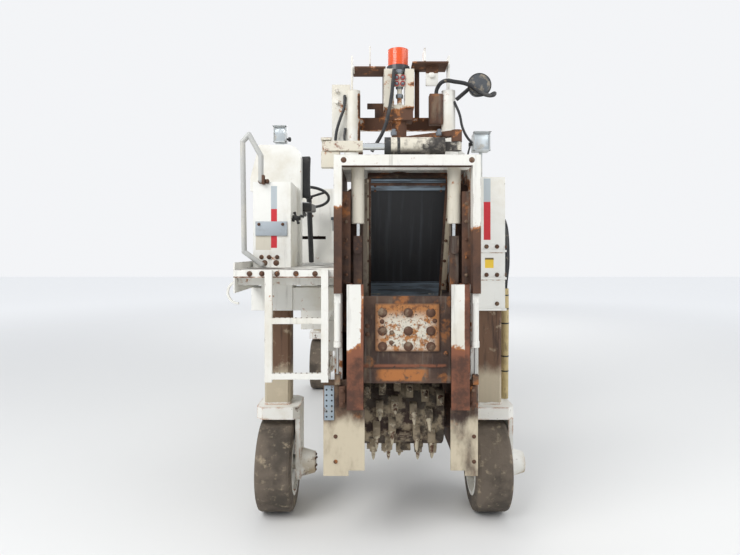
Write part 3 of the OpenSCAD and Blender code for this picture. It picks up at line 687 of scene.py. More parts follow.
def slew_barrel_stains(coat):
    oily = coat.math("ADD", coat.both(coat.beyond(X, 0.05, 0.35), 0.25), coat.noise(8, 7, 0.65))
    coat.layer(coat.step(oily, 0.62, 0.74), OIL_GRIME, 0.45)
    coat.speckle((10, 6), 0.4, 0.55, coat.facing(Z, -0.2, -0.8), OIL_GRIME, 0.5)
    bands = coat.either(coat.between(X, -0.010, 0.027, 0.001), coat.between(X, 0.062, 0.079, 0.001))
    coat.layer(bands, srgb(44, 44, 44), 0.6)
    coat.speckle((30, 5), 0.5, 0.6, coat.both(coat.cells(60), 0.8), GREY_GRIME, 0.8)


def platform_stains(coat):
    """Floor sheet with raised tread, worn bare where feet go."""
    up = coat.facing(Z, 0.8, 0.95)
    coat.speckle((5, 7), 0.40, 0.60, up, BARE_STEEL, 0.7)
    coat.raise_by(coat.both(up, coat.step(coat.cells(34), 0.30, 0.22)), 1.2)
    coat.rust_over(coat.both(coat.between(Z, 1.545, 1.553, 0.006), coat.rear(), 0.8), 12)


def tank_stains(coat):
    """Blue-grey shoulder sheet, filler neck with its cap, and painted shade in the slot between tank and
    covers.
    """
    shoulder = coat.both(coat.beyond(Z, 2.03, 2.06), coat.facing(Z, 0.05, 0.25))
    coat.layer(coat.both(shoulder, 0.8), srgb(132, 146, 160), 0.5)
    neck = coat.both(coat.between(X, -0.43, -0.35, 0.002), coat.between(Y, -0.46, -0.36, 0.004))
    coat.layer(coat.both(neck, coat.beyond(Z, 1.86, 1.87)), srgb(150, 150, 146), 0.4)
    coat.layer(coat.both(neck, coat.beyond(Z, 1.955, 1.962)), srgb(58, 66, 72), 0.5)
    # Painted shade: the faces deep in the slot between tank and covers get a dark rust colour.
    slot = coat.both(coat.between(X, -0.702, -0.478, 0.002), coat.between(Z, 1.793, 1.824, 0.002),
                     coat.beyond(Y, -0.345, -0.34))
    coat.layer(slot, RUST_DARK, 0.9)


def scraper_marks(coat):
    """Mottled repair patch, and rust in a band and along a seam below it."""
    patch = coat.both(coat.between(X, -0.055, 0.295, 0.02), coat.between(Z, 1.135, 1.395, 0.01),
                      coat.beyond(Y, -2.124, -2.127))
    flecks = coat.both(patch, coat.between(Z, 1.14, 1.33, 0.04), coat.between(X, -0.02, 0.26, 0.05))
    band = coat.both(coat.between(X, -0.045, 0.225, 0.03), coat.between(Z, 0.965, 1.030, 0.008), coat.rear())
    seam = coat.both(coat.between(Z, 1.040, 1.056, 0.006), coat.rear())
    for spot in (
        ((8, 7, 0.65), 0.30, 0.42, patch, srgb(166, 112, 64), 0.85),
        ((30, 6, 0.7), 0.50, 0.60, patch, srgb(120, 78, 50), 0.88),
        ((17, 7, 0.68), 0.42, 0.50, flecks, srgb(204, 198, 182), 0.8),
        ((70, 5, 0.7), 0.56, 0.62, patch, RUST_DARK, 0.85),
        ((46, 5, 0.7), 0.57, 0.62, patch, srgb(150, 96, 54), 0.85),
        ((22, 6), 0.34, 0.52, band, RUST_ORANGE, 0.85),
        ((18, 5), 0.42, 0.5, seam, RUST_RED, 0.9),
    ):
        coat.speckle(*spot)


def edge_plate_marks(coat):
    dusty = coat.math("ADD", coat.both(coat.beyond(Z, 0.88, 0.70), 0.55),
                      coat.math("SUBTRACT", coat.noise(6, 6, 0.6, (1, 1, 0.5)), 0.42))
    coat.layer(coat.step(dusty, 0.40, 0.68), PALE_DUST, 0.95)
    coat.layer(coat.beyond(Z, 1.010, 1.014), WORN_GREY, 0.35, 0.8)


def chute_marks(coat):
    sides = coat.either(coat.between(X, -0.130, -0.098, 0.004), coat.between(X, 0.363, 0.395, 0.004))
    coat.speckle((7, 7, 0.65), 0.34, 0.46, coat.both(coat.rear(), sides), PALE_DUST, 0.7)
    coat.layer(coat.both(coat.facing(Y, -0.9, -0.98), coat.beyond(Y, -2.0, -2.02), 0.75), RUST_DARK, 0.9)


def belt_finish():
    """Scratched rubber between two steel bars, with dusty steel ledges under it."""
    coat = Finish("belt_rubber", BLACK_RUBBER, 0.58)
    scratches = coat.noise(34, 5, 0.6, (1, 0.05, 0.05))
    coat.layer(coat.both(coat.step(scratches, 0.5, 0.75), 0.55), srgb(62, 66, 70), 0.7)
    coat.speckle((5, 5), 0.55, 0.7, 0.35, srgb(54, 52, 48), 0.8)
    bars = coat.both(coat.either(coat.beyond(Z, 2.047, 2.050), coat.beyond(Z, 1.500, 1.497)),
                     coat.facing(Y, -0.75, -0.85))
    ledges = coat.beyond(Z, 1.424, 1.420)
    steel = coat.either(bars, ledges)
    coat.layer(steel, srgb(120, 136, 148), 0.5)
    coat.speckle((12, 6, 0.6, (0.4, 1, 4)), 0.42, 0.62, steel, srgb(78, 84, 90), 0.6)
    coat.speckle((20, 6), 0.5, 0.6, ledges, srgb(178, 172, 156), 0.6)
    return coat.raise_by(scratches, 0.4).done(0.4)


def chrome(name, colour, share=1):
    """A polished rod with dull spots."""
    return patched(name, colour, 0.12, 1.0, [((40, 4), 0.6, 0.72, share, srgb(120, 116, 110), 0.4)])


def slew_rod_finish():
    coat = chrome("slew_rod_chrome", srgb(214, 218, 220), 0.6)
    fork = coat.beyond(X, -0.128, -0.132)
    coat.layer(fork, CREAM_PAINT, 0.6, 0.0)
    rust = coat.both(fork, coat.step(coat.noise(11, 7, 0.7), 0.52, 0.60))
    coat.layer(rust, RUST_RED, 0.85, 0.0)
    return coat.raise_by(rust, 0.2).done()


def column_finish(name, spread):
    """Rusty inner tube over a white bracket and fork, cracked along its welds."""
    coat = patched(name, WHITE_PAINT, 0.5, 0.0, (
        ((5, 7), 0.5, 0.75, 1, CREAM_PAINT, 0.6),
        ((9, 8, 0.7), 0.60, 0.65, 0.9, RUST_BROWN, 0.9),
    ), spread=spread)
    coat.speckle((10, 5), 0.40, 0.62, coat.worn_edge(0.02), RUST_ORANGE, 0.9)
    coat.speckle((7, 6), 0.42, 0.6, coat.beyond(Z, 0.42, 0.24), ROAD_DUST, 0.9)
    height = coat.along(Z)
    wander = coat.both(coat.noise(6, 6, 0.65, (1, 1, 0.4)), 0.30)
    pale = coat.step(coat.math("SUBTRACT", height, wander), TUBE_FOOT + 0.14, TUBE_FOOT + 0.02)
    rim = coat.math("SUBTRACT", height, coat.both(wander, 0.1))
    tube = coat.step(rim, TUBE_FOOT - 0.004, TUBE_FOOT + 0.004)
    coat.layer(tube, srgb(104, 78, 60), 0.85)
    coat.speckle((7, 7, 0.65, (3, 3, 0.25)), 0.5, 0.66, tube, RUST_DARK, 0.8)
    coat.speckle((11, 7), 0.58, 0.7, coat.both(tube, 0.7), ROAD_DUST, 0.9)
    coat.layer(coat.both(tube, pale, 0.8), PALE_DUST, 0.8)
    return coat.raise_by(coat.noise(40, 6), 0.25).done(0.45)


def tyre_finish():
    coat = patched("tyre_solid_rubber", TYRE_BROWN, 0.95, 0.0, (
        ((3.5, 6), 0.42, 0.64, 1, TYRE_DARK),
        ((22, 5), 0.55, 0.72, 0.6, ROAD_DUST),
    ), (((48, 6), 0.6), ((12, 5), 0.6)))
    cuts = coat.step(coat.cells(26), 0.05, 0.02)
    coat.speckle((4, 4), 0.5, 0.6, cuts, srgb(52, 46, 41))
    return coat.raise_by(cuts, -0.3).done(0.7)


def beacon_finish():
    coat = Finish("beacon_lens", BEACON_ORANGE, 0.22)
    ribs = coat.bands(30, "Z")
    coat.layer(coat.both(ribs, 0.25), srgb(190, 58, 8), 0.3)
    coat.layer(coat.beyond(Z, 2.8355, 2.8345), srgb(44, 46, 50), 0.6)
    return coat.raise_by(coat.both(ribs, coat.beyond(Z, 2.833, 2.84)), 0.15).done(0.4, Coat_Weight=0.4)


def dress(nodes, material):
    """Gives carried-over CAD nodes their finish."""
    for node in nodes.split():
        thing = bpy.data.objects[node]
        if not thing.material_slots:
            thing.data.materials.append(material)
        for slot in thing.material_slots:
            slot.material = material


def dress_frame():
    """Every CAD node's own finish."""
    stripe = (-0.715, -0.677)
    tape, label = (0.642, 0.686), (0.650, 0.706)
    left_marks = rear_marks(
        ((-0.812, -0.715), (1.70, 1.800), CREAM_PAINT, 0.6), (stripe, (1.959, 2.104), TAPE_SILVER, 0.35),
        (stripe, (1.879, 1.959), TAPE_RED, 0.35), (stripe, (1.713, 1.790), TAPE_RED, 0.35))
    right_marks = rear_marks(
        (tape, (2.010, 2.160), TAPE_SILVER, 0.35), (tape, (1.765, 2.010), TAPE_RED, 0.35),
        (label, (1.584, 1.642), LABEL_YELLOW, 0.45), (label, (1.638, 1.650), srgb(104, 88, 52), 0.6))
    bright = {"base": BRIGHT_PAINT}
    cream = {"base": CREAM_PAINT}
    for nodes, paint, rust, grime, dust, spread, more in (
        ("rear_portal", "portal", 0.55, 0.6, 0.3, (2, 1, 4), {"stains": portal_stains}),
        ("main_frame", "chassis", 0.6, 0.9, 0.7, (0, 0, 0), {"stains": chassis_stains}),
        ("rear_sleeve_right", "right_sleeve", 0.1, 0.2, 0.1, (3, 1, 0),
         {"marks": right_marks, "stains": right_sleeve_stains, **bright}),
        ("rear_sleeve_left", "left_box", 0.12, 0.2, 0.1, (8, 1, 0),
         {"marks": left_marks, "stains": left_box_stains, **bright}),
        ("plate_guides", "guide", 0.45, 0.5, 0.3, (5, 5, 9), {"stains": guide_stains}),
        ("mast", "mast", 0.42, 0.5, 0.3, (3, 8, 2), {"stains": mast_stains}),
        ("swivel_bracket", "swivel", 0.6, 0.6, 0.6, (1, 2, 8), {"stains": swivel_stains, **cream}),
        ("slew_barrel", "slew_barrel", 0.3, 0.8, 0.6, (9, 7, 4), {"stains": slew_barrel_stains, **cream}),
        ("platform", "platform", 0.4, 0.6, 0.5, (1, 7, 0), {"stains": platform_stains}),
        ("water_tank", "tank", 0.2, 0.45, 0.3, (0, 5, 5), {"stains": tank_stains}),
        ("side_ring", "ring", 0.35, 0.3, 0.3, (2, 2, 2), {}),
        ("ladder", "ladder", 0.2, 0.4, 0.3, (8, 0, 1), {}),
        ("console", "cover", 0.05, 0.15, 0.1, (4, 0, 3), bright),
        ("side_tanks", "side_tank", 0.35, 0.6, 0.5, (6, 5, 1), {}),
        ("hood_base", "lower_cover", 0.3, 0.5, 0.3, (1, 9, 1), {}),
        ("front_weight", "ballast", 0.6, 0.6, 0.3, (9, 3, 6), {}),
        ("slew_anchor", "anchor", 0.6, 0.5, 0.3, (7, 8, 2), cream),
        ("scraper_barrels", "barrel", 0.55, 0.8, 0.6, (1, 1, 4), cream),
        ("side_plate_barrels", "edge_barrel", 0.3, 0.5, 0.3, (2, 7, 4), {}),
        ("front_sleeve_left front_sleeve_right front_beam", "front_sleeve", 0.35, 0.4, 0.3, (5, 4, 0), {}),
        ("hub_rear_left hub_rear_right hub_front_left hub_front_right", "hub", 0.6, 0.8, 0.8, (4, 4, 4), {}),
        ("handrail", "worn_tube", 0.25, 0.7, 0.3, (4, 4, 7), {"base": WORN_GREY}),
    ):
        dress(nodes, machine_paint(paint + "_paint", rust, grime, dust, spread, **more))

    for nodes, material in (
        ("scraper", rusty_plate("scraper_rust", 0.25, (5, 2, 1), srgb(86, 66, 54), scraper_marks)),
        ("side_plate_left",
         rusty_plate("edge_plate_left", 0.45, (2, 3, 4), EDGE_PLATE_BROWN, edge_plate_marks)),
        ("side_plate_right",
         rusty_plate("edge_plate_right", 0.45, (7, 3, 4), EDGE_PLATE_BROWN, edge_plate_marks)),
        ("chute", rusty_plate("chute_rust", 0.3, (3, 3, 3), marks=chute_marks)),
        ("drum_housing", rusty_plate("housing_rust", 0.4)),
        ("exhaust", rusty_plate("exhaust_rust", spread=(7, 7, 7))),
        ("belt_panel", belt_finish()),
        ("slew_rod", slew_rod_finish()),
        ("beacon", beacon_finish()),
        ("engine_block", plain_steel("engine_iron", srgb(66, 66, 64), 0.6, 0.6)),
        ("scraper_rods", chrome("chrome_rod", srgb(206, 210, 212)).done()),
        ("tyre_rear_left tyre_rear_right tyre_front_left tyre_front_right", tyre_finish()),
        ("tie_rod steer_collar_left steer_collar_right", STEEL),
        ("steering_wheel round_lamp radiator", BLACK),
    ):
        dress(nodes, material)
    for side in ("rear_left", "rear_right", "front_left", "front_right"):
        spread = (random.Random(side).uniform(0, 9), 2, 3)
        dress("leg_" + side, column_finish("column_" + side, spread))


def worn_by(node):
    """The finish that a CAD node already wears."""
    return bpy.data.objects[node].material_slots[0].material


# Pieces of the rear


def grid(xs, ys, zs):
    """Every place where the x, y and z values meet; a bare number stands for itself."""
    return product(*((values,) if isinstance(values, float) else values for values in (xs, ys, zs)))


def bolts(name, body, *rows, shape=None):
    """A piece of rusty heads. A row is a head's form, radius, height, places and way out."""
    shape = shape or bmesh.new()
    for form, radius, height, places, toward in rows:
        for at in places:
            form(shape, radius, height, at, toward)
    piece(name, shape, BOLT, body)


def around_drum(turn, across=0.0):
    """Placement on the milling drum: X across, Y against its travel, Z out from its axis."""
    at = DRUM_AXIS + Vector((across, 0, 0))
    return Matrix.Translation(at) @ Matrix.Rotation(math.radians(turn), 4, "X")


def holder_places():
    """Placement of every tool holder, in two mirrored helical rows on each half."""
    reach = DRUM_WIDTH / 2 - EDGE_HOLDER
    for half in (-1, 1):
        for start in (0, 180):
            for k in range(ROW_HOLDERS):
                across = half * (FIRST_HOLDER + reach * k / (ROW_HOLDERS - 1))
                yield around_drum(start + ROW_STEP * k + (HALF_LAG if half > 0 else 0), across)


def milling_drum():
    """Drum with shaped holders in mirrored helical rows, paddles at its middle and leaning picks."""
    lean = math.radians(PICK_LEAN)
    out = Vector((-math.sin(lean), math.cos(lean)))
    side = Vector((math.cos(lean), math.sin(lean)))
    seat_at = PICK_TIP - PICK_LENGTH * out
    holder = [
        (seat_at.x - 0.048, CORE_RADIUS - 0.012), (seat_at.x - 0.038, CORE_RADIUS + 0.016),
        tuple(seat_at - 0.021 * side), tuple(seat_at + 0.021 * side),
        (seat_at.x + 0.052, CORE_RADIUS + 0.020), (seat_at.x + 0.062, CORE_RADIUS - 0.026),
    ]
    turn_side = Matrix.Rotation(math.radians(90), 4, "Z")
    core = bmesh.new()
    half_width = DRUM_WIDTH / 2
    rim = CORE_RADIUS - 0.004
    turned(core, [(-half_width, rim), (0.004 - half_width, CORE_RADIUS), (half_width - 0.004, CORE_RADIUS),
                  (half_width, rim)], 72, DRUM_AXIS, RIGHT)
    low, high = (end - DRUM_AXIS.x for end in SHAFT_ENDS)
    turned(core, [(low, 0.040), (high, 0.040)], 32, DRUM_AXIS, RIGHT)
    for turn in PADDLE_TURNS:
        block(core, (-0.045, -0.009, CORE_RADIUS - 0.012), (0.045, 0.009, CORE_RADIUS + 0.045), 0.004,
              place=around_drum(turn))
    holders = bmesh.new()
    picks = bmesh.new()
    for place in holder_places():
        pressed(holders, holder, -0.0225, 0.0225, 0.004, place @ turn_side)
        seat_place = place @ Vector((0, seat_at.x, seat_at.y))
        toward = place.to_3x3() @ Vector((0, out.x, out.y))
        turned(holders, [(-0.034, 0.0215), (-0.004, 0.0235), (0, 0.0215)], 20, seat_place, toward)
        turned(picks, [(0, 0.019), (0.007, 0.019), (0.013, 0.013), (0.044, 0.011), (0.058, 0.0085),
                       (0.062, 0.008), (PICK_LENGTH, 0.002)], 16, seat_place, toward)
    steel = patched("drum_steel", srgb(88, 80, 70), 0.85, 0.0, (
        ((6, 8, 0.7), 0.44, 0.60, 1, RUST_DARK, 0.85), ((13, 7), 0.46, 0.62, 0.85, ROAD_DUST, 0.95),
    ), [((40, 6), 0.5)])
    caked = patched("holder_dust", srgb(150, 136, 114), 0.92, 0.0, (
        ((9, 7, 0.65), 0.46, 0.62, 1, srgb(84, 74, 62), 0.85), ((30, 6), 0.55, 0.66, 0.7, PALE_DUST, 0.95),
    ), [((45, 6), 0.5)])
    dusty = patched("pick_dust", PALE_DUST, 0.9, 0.0, [((26, 6), 0.50, 0.62, 1, RUST_BROWN, 0.85)],
                    [((60, 6), 0.5)])
    for name, shape, coat, node in (
        ("drum_body", core, steel, "drum"), ("tool_holders", holders, caked, "drum"),
        ("milling_picks", picks, dusty, "drum_picks"),
    ):
        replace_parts(piece(name, shape, coat.done(0.5), "milling_drum"), node)


def scraper_and_sleeve_bolts():
    """Heads on the scraper's patch, and on the right sleeve, the left box and the platform's edge."""
    on_patch = ((-0.022, 1.298), (0.032, 1.236), (0.030, 1.180), (0.274, 1.302))
    beside_it = ((-0.105, 1.272), (-0.104, 1.225), (0.338, 1.118))
    small = [(x, PATCH_REAR, z) for x, z in on_patch] + [(x, SCRAPER_REAR, z) for x, z in beside_it]
    bolts("scraper_bolts", "scraper_blade",
          (domed_head, 0.020, 0.014, grid((-0.020, 0.125, 0.252), PATCH_REAR, (1.348, 1.245, 1.158)), BACK),
          (domed_head, 0.010, 0.009, small, BACK))
    bolts("sleeve_bolts", "frame",
          (hex_head, 0.011, 0.013, grid((0.660, 0.728), SLEEVE_REAR, (1.722, 1.540)), BACK),
          (hex_head, 0.011, 0.013, [(0.728, SLEEVE_REAR, 1.354)], BACK),
          (hex_head, 0.011, 0.014, grid((-0.775, -0.727, -0.676), BOX_REAR, 1.655), BACK),
          (domed_head, 0.014, 0.008, grid((-0.755, -0.682), BOX_REAR, 1.618), BACK),
          (hex_head, 0.012, 0.014,
           grid((-0.760, -0.691, -0.607, -0.502, -0.396), PLATFORM_REAR, 1.568), BACK),
          (hex_head, 0.008, 0.010, grid((-0.790, -0.640), -1.747, 1.862), BACK),
          (hex_head, 0.011, 0.013, grid(0.779, (-1.66, -1.57, -1.48), (1.720, 1.542)), RIGHT))


def wall_flanges():
    """Bolted flanges that stand in from both walls of the rear frame, and the header's own bolts."""
    shape = bmesh.new()
    for left, right in ((WALL_LEFT, -0.1995), (0.4275, WALL_RIGHT)):
        block(shape, (left, -2.1215, 1.510), (right, -2.1155, 2.030), 0.0012)
    piece("wall_flanges", shape, rusty_plate("wall_flange_rust", spread=(4, 6, 2)))
    bolts("portal_bolts", "frame",
          (hex_head, 0.008, 0.010, grid((-0.2235, 0.452), -2.121, (1.560, 1.660, 1.760, 1.860, 1.960)), BACK),
          (domed_head, 0.012, 0.005, grid((-0.235, 0.470), -2.1945, 2.195), BACK),
          (hex_head, 0.010, 0.012, grid((-0.2, -0.05, 0.12, 0.29, 0.44), -1.500, 2.194), UP))


def chute_flanges():
    """Flanges, frame bar and bolts round the belt, ledges under it, and the sheets beside the chute."""
    shape = bmesh.new()
    for left, right, low in ((-0.129, BELT_LEFT, 0.060), (BELT_RIGHT, 0.394, 0.060),
                             (BELT_LEFT, BELT_RIGHT, 0.765)):
        block(shape, (left, -0.018, low), (right, -0.0095, 0.781), 0.0015, place=CHUTE_PLACE)
    for left, right, left_top, right_top in ((WALL_LEFT, -0.1045, 2.025, 2.119),
                                             (0.3695, WALL_RIGHT, 2.119, 2.070)):
        outline = [(left, 1.3995), (right, 1.3995), (right, right_top), (left, left_top)]
        pressed(shape, outline, -2.030, -2.022)
    piece("chute_flanges", shape, worn_by("chute"))
    ledges = bmesh.new()
    for along in (0.012, -0.006):
        turned(ledges, rod(0.007, 0.433), 16, CHUTE_PLACE @ Vector((-0.084, -0.003, along)), RIGHT)
    piece("belt_ledges", ledges, STEEL)
    out = CHUTE_PLACE.to_3x3() @ Vector(BACK)
    edges = [CHUTE_PLACE @ Vector(at)
             for at in grid((-0.107, 0.372), -0.0175, (0.10, 0.27, 0.41, 0.55, 0.70))]
    under = [CHUTE_PLACE @ Vector(at) for at in grid((-0.060, 0.325), -0.0075, (0.730, 0.760))]
    bolts("chute_bolts", "frame", (hex_head, 0.008, 0.010, edges, out), (hex_head, 0.006, 0.008, under, out))


def mast_fittings():
    """Valve block, hose bars, nut plate, aerial foot and knobs of the conveyor carrier, and its gusset."""
    rusty = bmesh.new()
    block(rusty, (0.271, -1.885, 2.464), (0.351, -1.815, 2.648), 0.004)
    block(rusty, (-0.108, -1.755, 2.588), (-0.011, -1.735, 2.622), 0.002)
    block(rusty, (-0.060, -1.755, 2.530), (-0.011, -1.735, 2.589), 0.002)
    turned(rusty, rod(0.015, 0.296), 16, (0.206, -1.745, 2.530), UP)
    piece("valve_block", rusty, rusty_plate("valve_rust", spread=(2, 8, 5)))
    pale = bmesh.new()
    block(pale, (0.250, -1.862, 2.700), (0.325, -1.854, 2.828), 0.0015)
    turned(pale, [(0, 0.020), (0.014, 0.020), (0.018, 0.014)], 6, (0.284, -1.861, 2.765), BACK)
    gusset = [(0.409, 2.194), (0.545, 2.194), (0.575, 2.222), (0.545, 2.262), (0.470, 2.330), (0.409, 2.334)]
    pressed(pale, gusset, -1.780, -1.768)
    for z in (2.600, 2.668):
        turned(pale, [(0, 0.013), (0.018, 0.013), (0.022, 0.009)], 16, (-0.292, -1.853, z), BACK)
    piece("mast_plates", pale, worn_by("mast"))


def hoist_plate():
    """Four heads on the hub plate that the conveyor's hoist hangs on, with red marking rings."""
    hub = bmesh.new()
    block(hub, (0.0515, -1.9705, 2.665), (0.1185, -1.958, 2.731), 0.0015)
    turned(hub, rod(0.014, 0.205), 18, (0.085, -1.945, 2.559), UP)
    piece("hoist_plate", hub, worn_by("swivel_bracket"), "conveyor_swivel")
    heads = bmesh.new()
    rings = bmesh.new()
    for x, y, z in grid((0.067, 0.103), -1.9755, (2.680, 2.716)):
        hex_head(heads, 0.0085, 0.012, (x, y, z), BACK)
        tie_ring(rings, (x, -1.978, z), BACK, 0.0112, 0.004, 0.0045)
    piece("hoist_bolts", heads, STEEL, "conveyor_swivel")
    red = patched("red_marking_paint", srgb(168, 46, 38), 0.5, 0.0,
                  [((60, 5), 0.52, 0.62, 1, RUST_BROWN, 0.8)])
    piece("hoist_bolt_rings", rings, red.done(), "conveyor_swivel")


def edge_plate_blocks():
    """Bolted wear blocks on the rear edges of both side plates, and the drilled strap on the left, whose
    holes are black discs of painted shade.
    """
    for side, low, high, inner, outer in (("left", -0.262, -0.226, -0.196, -0.282),
                                          ("right", 0.464, 0.500, 0.430, 0.490)):
        shape = bmesh.new()
        block(shape, (low, -2.172, 0.826), (high, EDGE_PLATE_REAR, 0.945), 0.004)
        bolts("wear_block_" + side, "edge_plate_" + side,
              (domed_head, 0.012, 0.014, grid((low + high) / 2, -2.171, (0.848, 0.922)), BACK), shape=shape)
        bolts("side_plate_bolts_" + side, "edge_plate_" + side,
              (hex_head, 0.009, 0.012, grid(inner, EDGE_PLATE_REAR, (0.842, 0.930)), BACK),
              (hex_head, 0.009, 0.010, grid(outer, EDGE_PLATE_REAR, (0.52, 0.66)), BACK))
    strap = bmesh.new()
    block(strap, (-0.345, -2.156, 0.752), (-0.290, EDGE_PLATE_REAR, 0.945), 0.0015)
    blue = patched("strap_blue_grey", srgb(146, 158, 166), 0.55, 0.0, (
        ((18, 7, 0.7), 0.56, 0.64, 1, RUST_BROWN, 0.85), ((9, 5), 0.5, 0.7, 0.5, ROAD_DUST, 0.85),
    ), [((60, 5), 0.15)])
    piece("drilled_strap", strap, blue.done(), "edge_plate_left")
    # Painted shade: each drilled hole is a thin black disc on the strap's face, not an opening.
    hole_shades = bmesh.new()
    for at in grid((-0.332, -0.303), -2.156, [0.772 + row * 0.030 for row in range(6)]):
        turned(hole_shades, [(0, 0.0055), (0.0012, 0.0050)], 10, at, BACK)
    piece("strap_holes", hole_shades, BLACK, "edge_plate_left")


def left_box_fittings():
    """Bracket plate on the rear of the left box, and the rusty clamp of the handrail's upper end."""
    plate = bmesh.new()
    block(plate, (-0.812, -1.748, 1.790), (-0.612, -1.7395, 1.880), 0.0015)
    grey = patched("bracket_plate_paint", srgb(164, 172, 178), 0.5, 0.0, (
        ((8, 6), 0.5, 0.7, 0.5, GREY_GRIME, 0.7), ((16, 7, 0.7), 0.62, 0.68, 1, RUST_ORANGE, 0.85),
    ), [((60, 4), 0.1)])
    piece("box_bracket_plate", plate, grey.done())
    clamp = bmesh.new()
    block(clamp, (-0.788, -1.752, 2.118), (-0.728, BOX_REAR, 2.146), 0.003)
    block(clamp, (-0.768, -1.775, 2.112), (-0.752, BOX_REAR, 2.170), 0.003)
    for x in (-0.782, -0.736):
        domed_head(clamp, 0.010, 0.010, (x, -1.751, 2.133), BACK)
    piece("handrail_clamp", clamp, rusty_plate("clamp_rust", spread=(3, 9, 1)))


def water_tap():
    """Valve with a black cross handle on the right side of the left box."""
    shape = bmesh.new()
    turned(shape, [(0, 0.022), (0.010, 0.022), (0.012, 0.012), (0.050, 0.012)], 14,
           (-0.5905, -1.640, TAP_Z), RIGHT)
    turned(shape, [(0, 0.016), (0.044, 0.016), (0.050, 0.010)], 12, (TAP_X, -1.662, TAP_Z), AHEAD)
    turned(shape, [(0, 0.009), (0.030, 0.009), (0.034, 0.014), (0.046, 0.014), (0.050, 0.006)], 12,
           (TAP_X, -1.655, TAP_Z), BACK)
    for turn in range(4):
        angle = math.radians(20 + 90 * turn)
        turned(shape, [(0, 0.008), (0.026, 0.007), (0.030, 0.010), (0.038, 0.010), (0.041, 0.006),
                       (0.042, 0)], 10, (TAP_X, -1.695, TAP_Z), (math.cos(angle), 0, math.sin(angle)))
    piece("water_tap", shape, BLACK)


def work_lights():
    """Open-fronted boxes of both work lights on their stalks, with glass and knobs."""
    boxes = bmesh.new()
    glass = bmesh.new()
    for low, high, foot in (((0.583, -1.640, 2.345), (0.693, -1.540, 2.465), 2.170),
                            ((-0.762, -1.390, 2.450), (-0.672, -1.310, 2.560), 2.430)):
        left, front, bottom = low
        right, back, top = high
        middle = (left + right) / 2
        for first, last, edge in (
            ((left, front, bottom), (left + 0.009, front + 0.018, top), 0.002),
            ((right - 0.009, front, bottom), (right, front + 0.018, top), 0.002),
            ((left, front, bottom), (right, front + 0.018, bottom + 0.009), 0.002),
            ((left, front, top - 0.009), (right, front + 0.018, top), 0.002),
            ((left - 0.003, front - 0.022, top - 0.001), (right + 0.003, front + 0.02, top + 0.003), 0.001),
            ((middle - 0.010, back - 0.060, foot), (middle + 0.010, back - 0.040, bottom + 0.002), 0.003),
            ((middle - 0.030, back - 0.076, foot), (middle + 0.030, back - 0.024, foot + 0.008), 0.0015),
        ):
            block(boxes, first, last, edge)
        block(boxes, (left, front + 0.012, bottom), high, 0.008, 3)
        block(glass, (left + 0.009, front + 0.004, bottom + 0.009),
              (right - 0.009, front + 0.013, top - 0.009), 0.003)
    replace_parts(piece("work_light_boxes", boxes, LAMP_PAINT), "work_lights")
    lens = patched("lamp_lens_glass", srgb(196, 204, 208), 0.12, 0.35,
                   [((20, 5), 0.52, 0.7, 0.5, ROAD_DUST, 0.6, 0.0)])
    lens.raise_by(lens.bands(60, "X"), 0.3)
    piece("work_light_glass", glass, lens.done(0.5, Coat_Weight=0.6))

    knobs = bmesh.new()
    stem = [(0, 0.008), (0.010, 0.008), (0.012, 0.016)]
    turned(knobs, stem + [(0.026, 0.016), (0.030, 0.010)], 12, (-0.673, -1.352, 2.475), RIGHT)
    turned(knobs, stem + [(0.024, 0.016), (0.026, 0)], 12, (0.584, -1.592, 2.392), LEFT)
    piece("work_light_knobs", knobs, BLACK)


def lamp_details():
    """The round lamp's glass and the amber reflector on the gusset."""
    shape = bmesh.new()
    turned(shape, [(0, 0.066), (0.004, 0.064), (0.009, 0.046), (0.012, 0.020), (0.013, 0)], 28,
           (0.570, -1.899, 2.695), BACK)
    dark = patched("round_lamp_glass", srgb(70, 74, 78), 0.25, 0.0,
                   [((22, 5), 0.5, 0.65, 0.6, ROAD_DUST, 0.7)])
    dark.raise_by(dark.bands(70, "Z"), 0.3)
    piece("round_lamp_glass", shape, dark.done(0.5))
    shape = bmesh.new()
    turned(shape, [(0, 0.021), (0.003, 0.021), (0.006, 0.018), (0.007, 0)], 24, (0.545, -1.7795, 2.232), BACK)
    amber = Finish("amber_reflector", srgb(228, 142, 24), 0.2)
    amber.raise_by(amber.cells(240), 0.3)
    piece("amber_reflector", shape, amber.done(0.5, Coat_Weight=0.5))


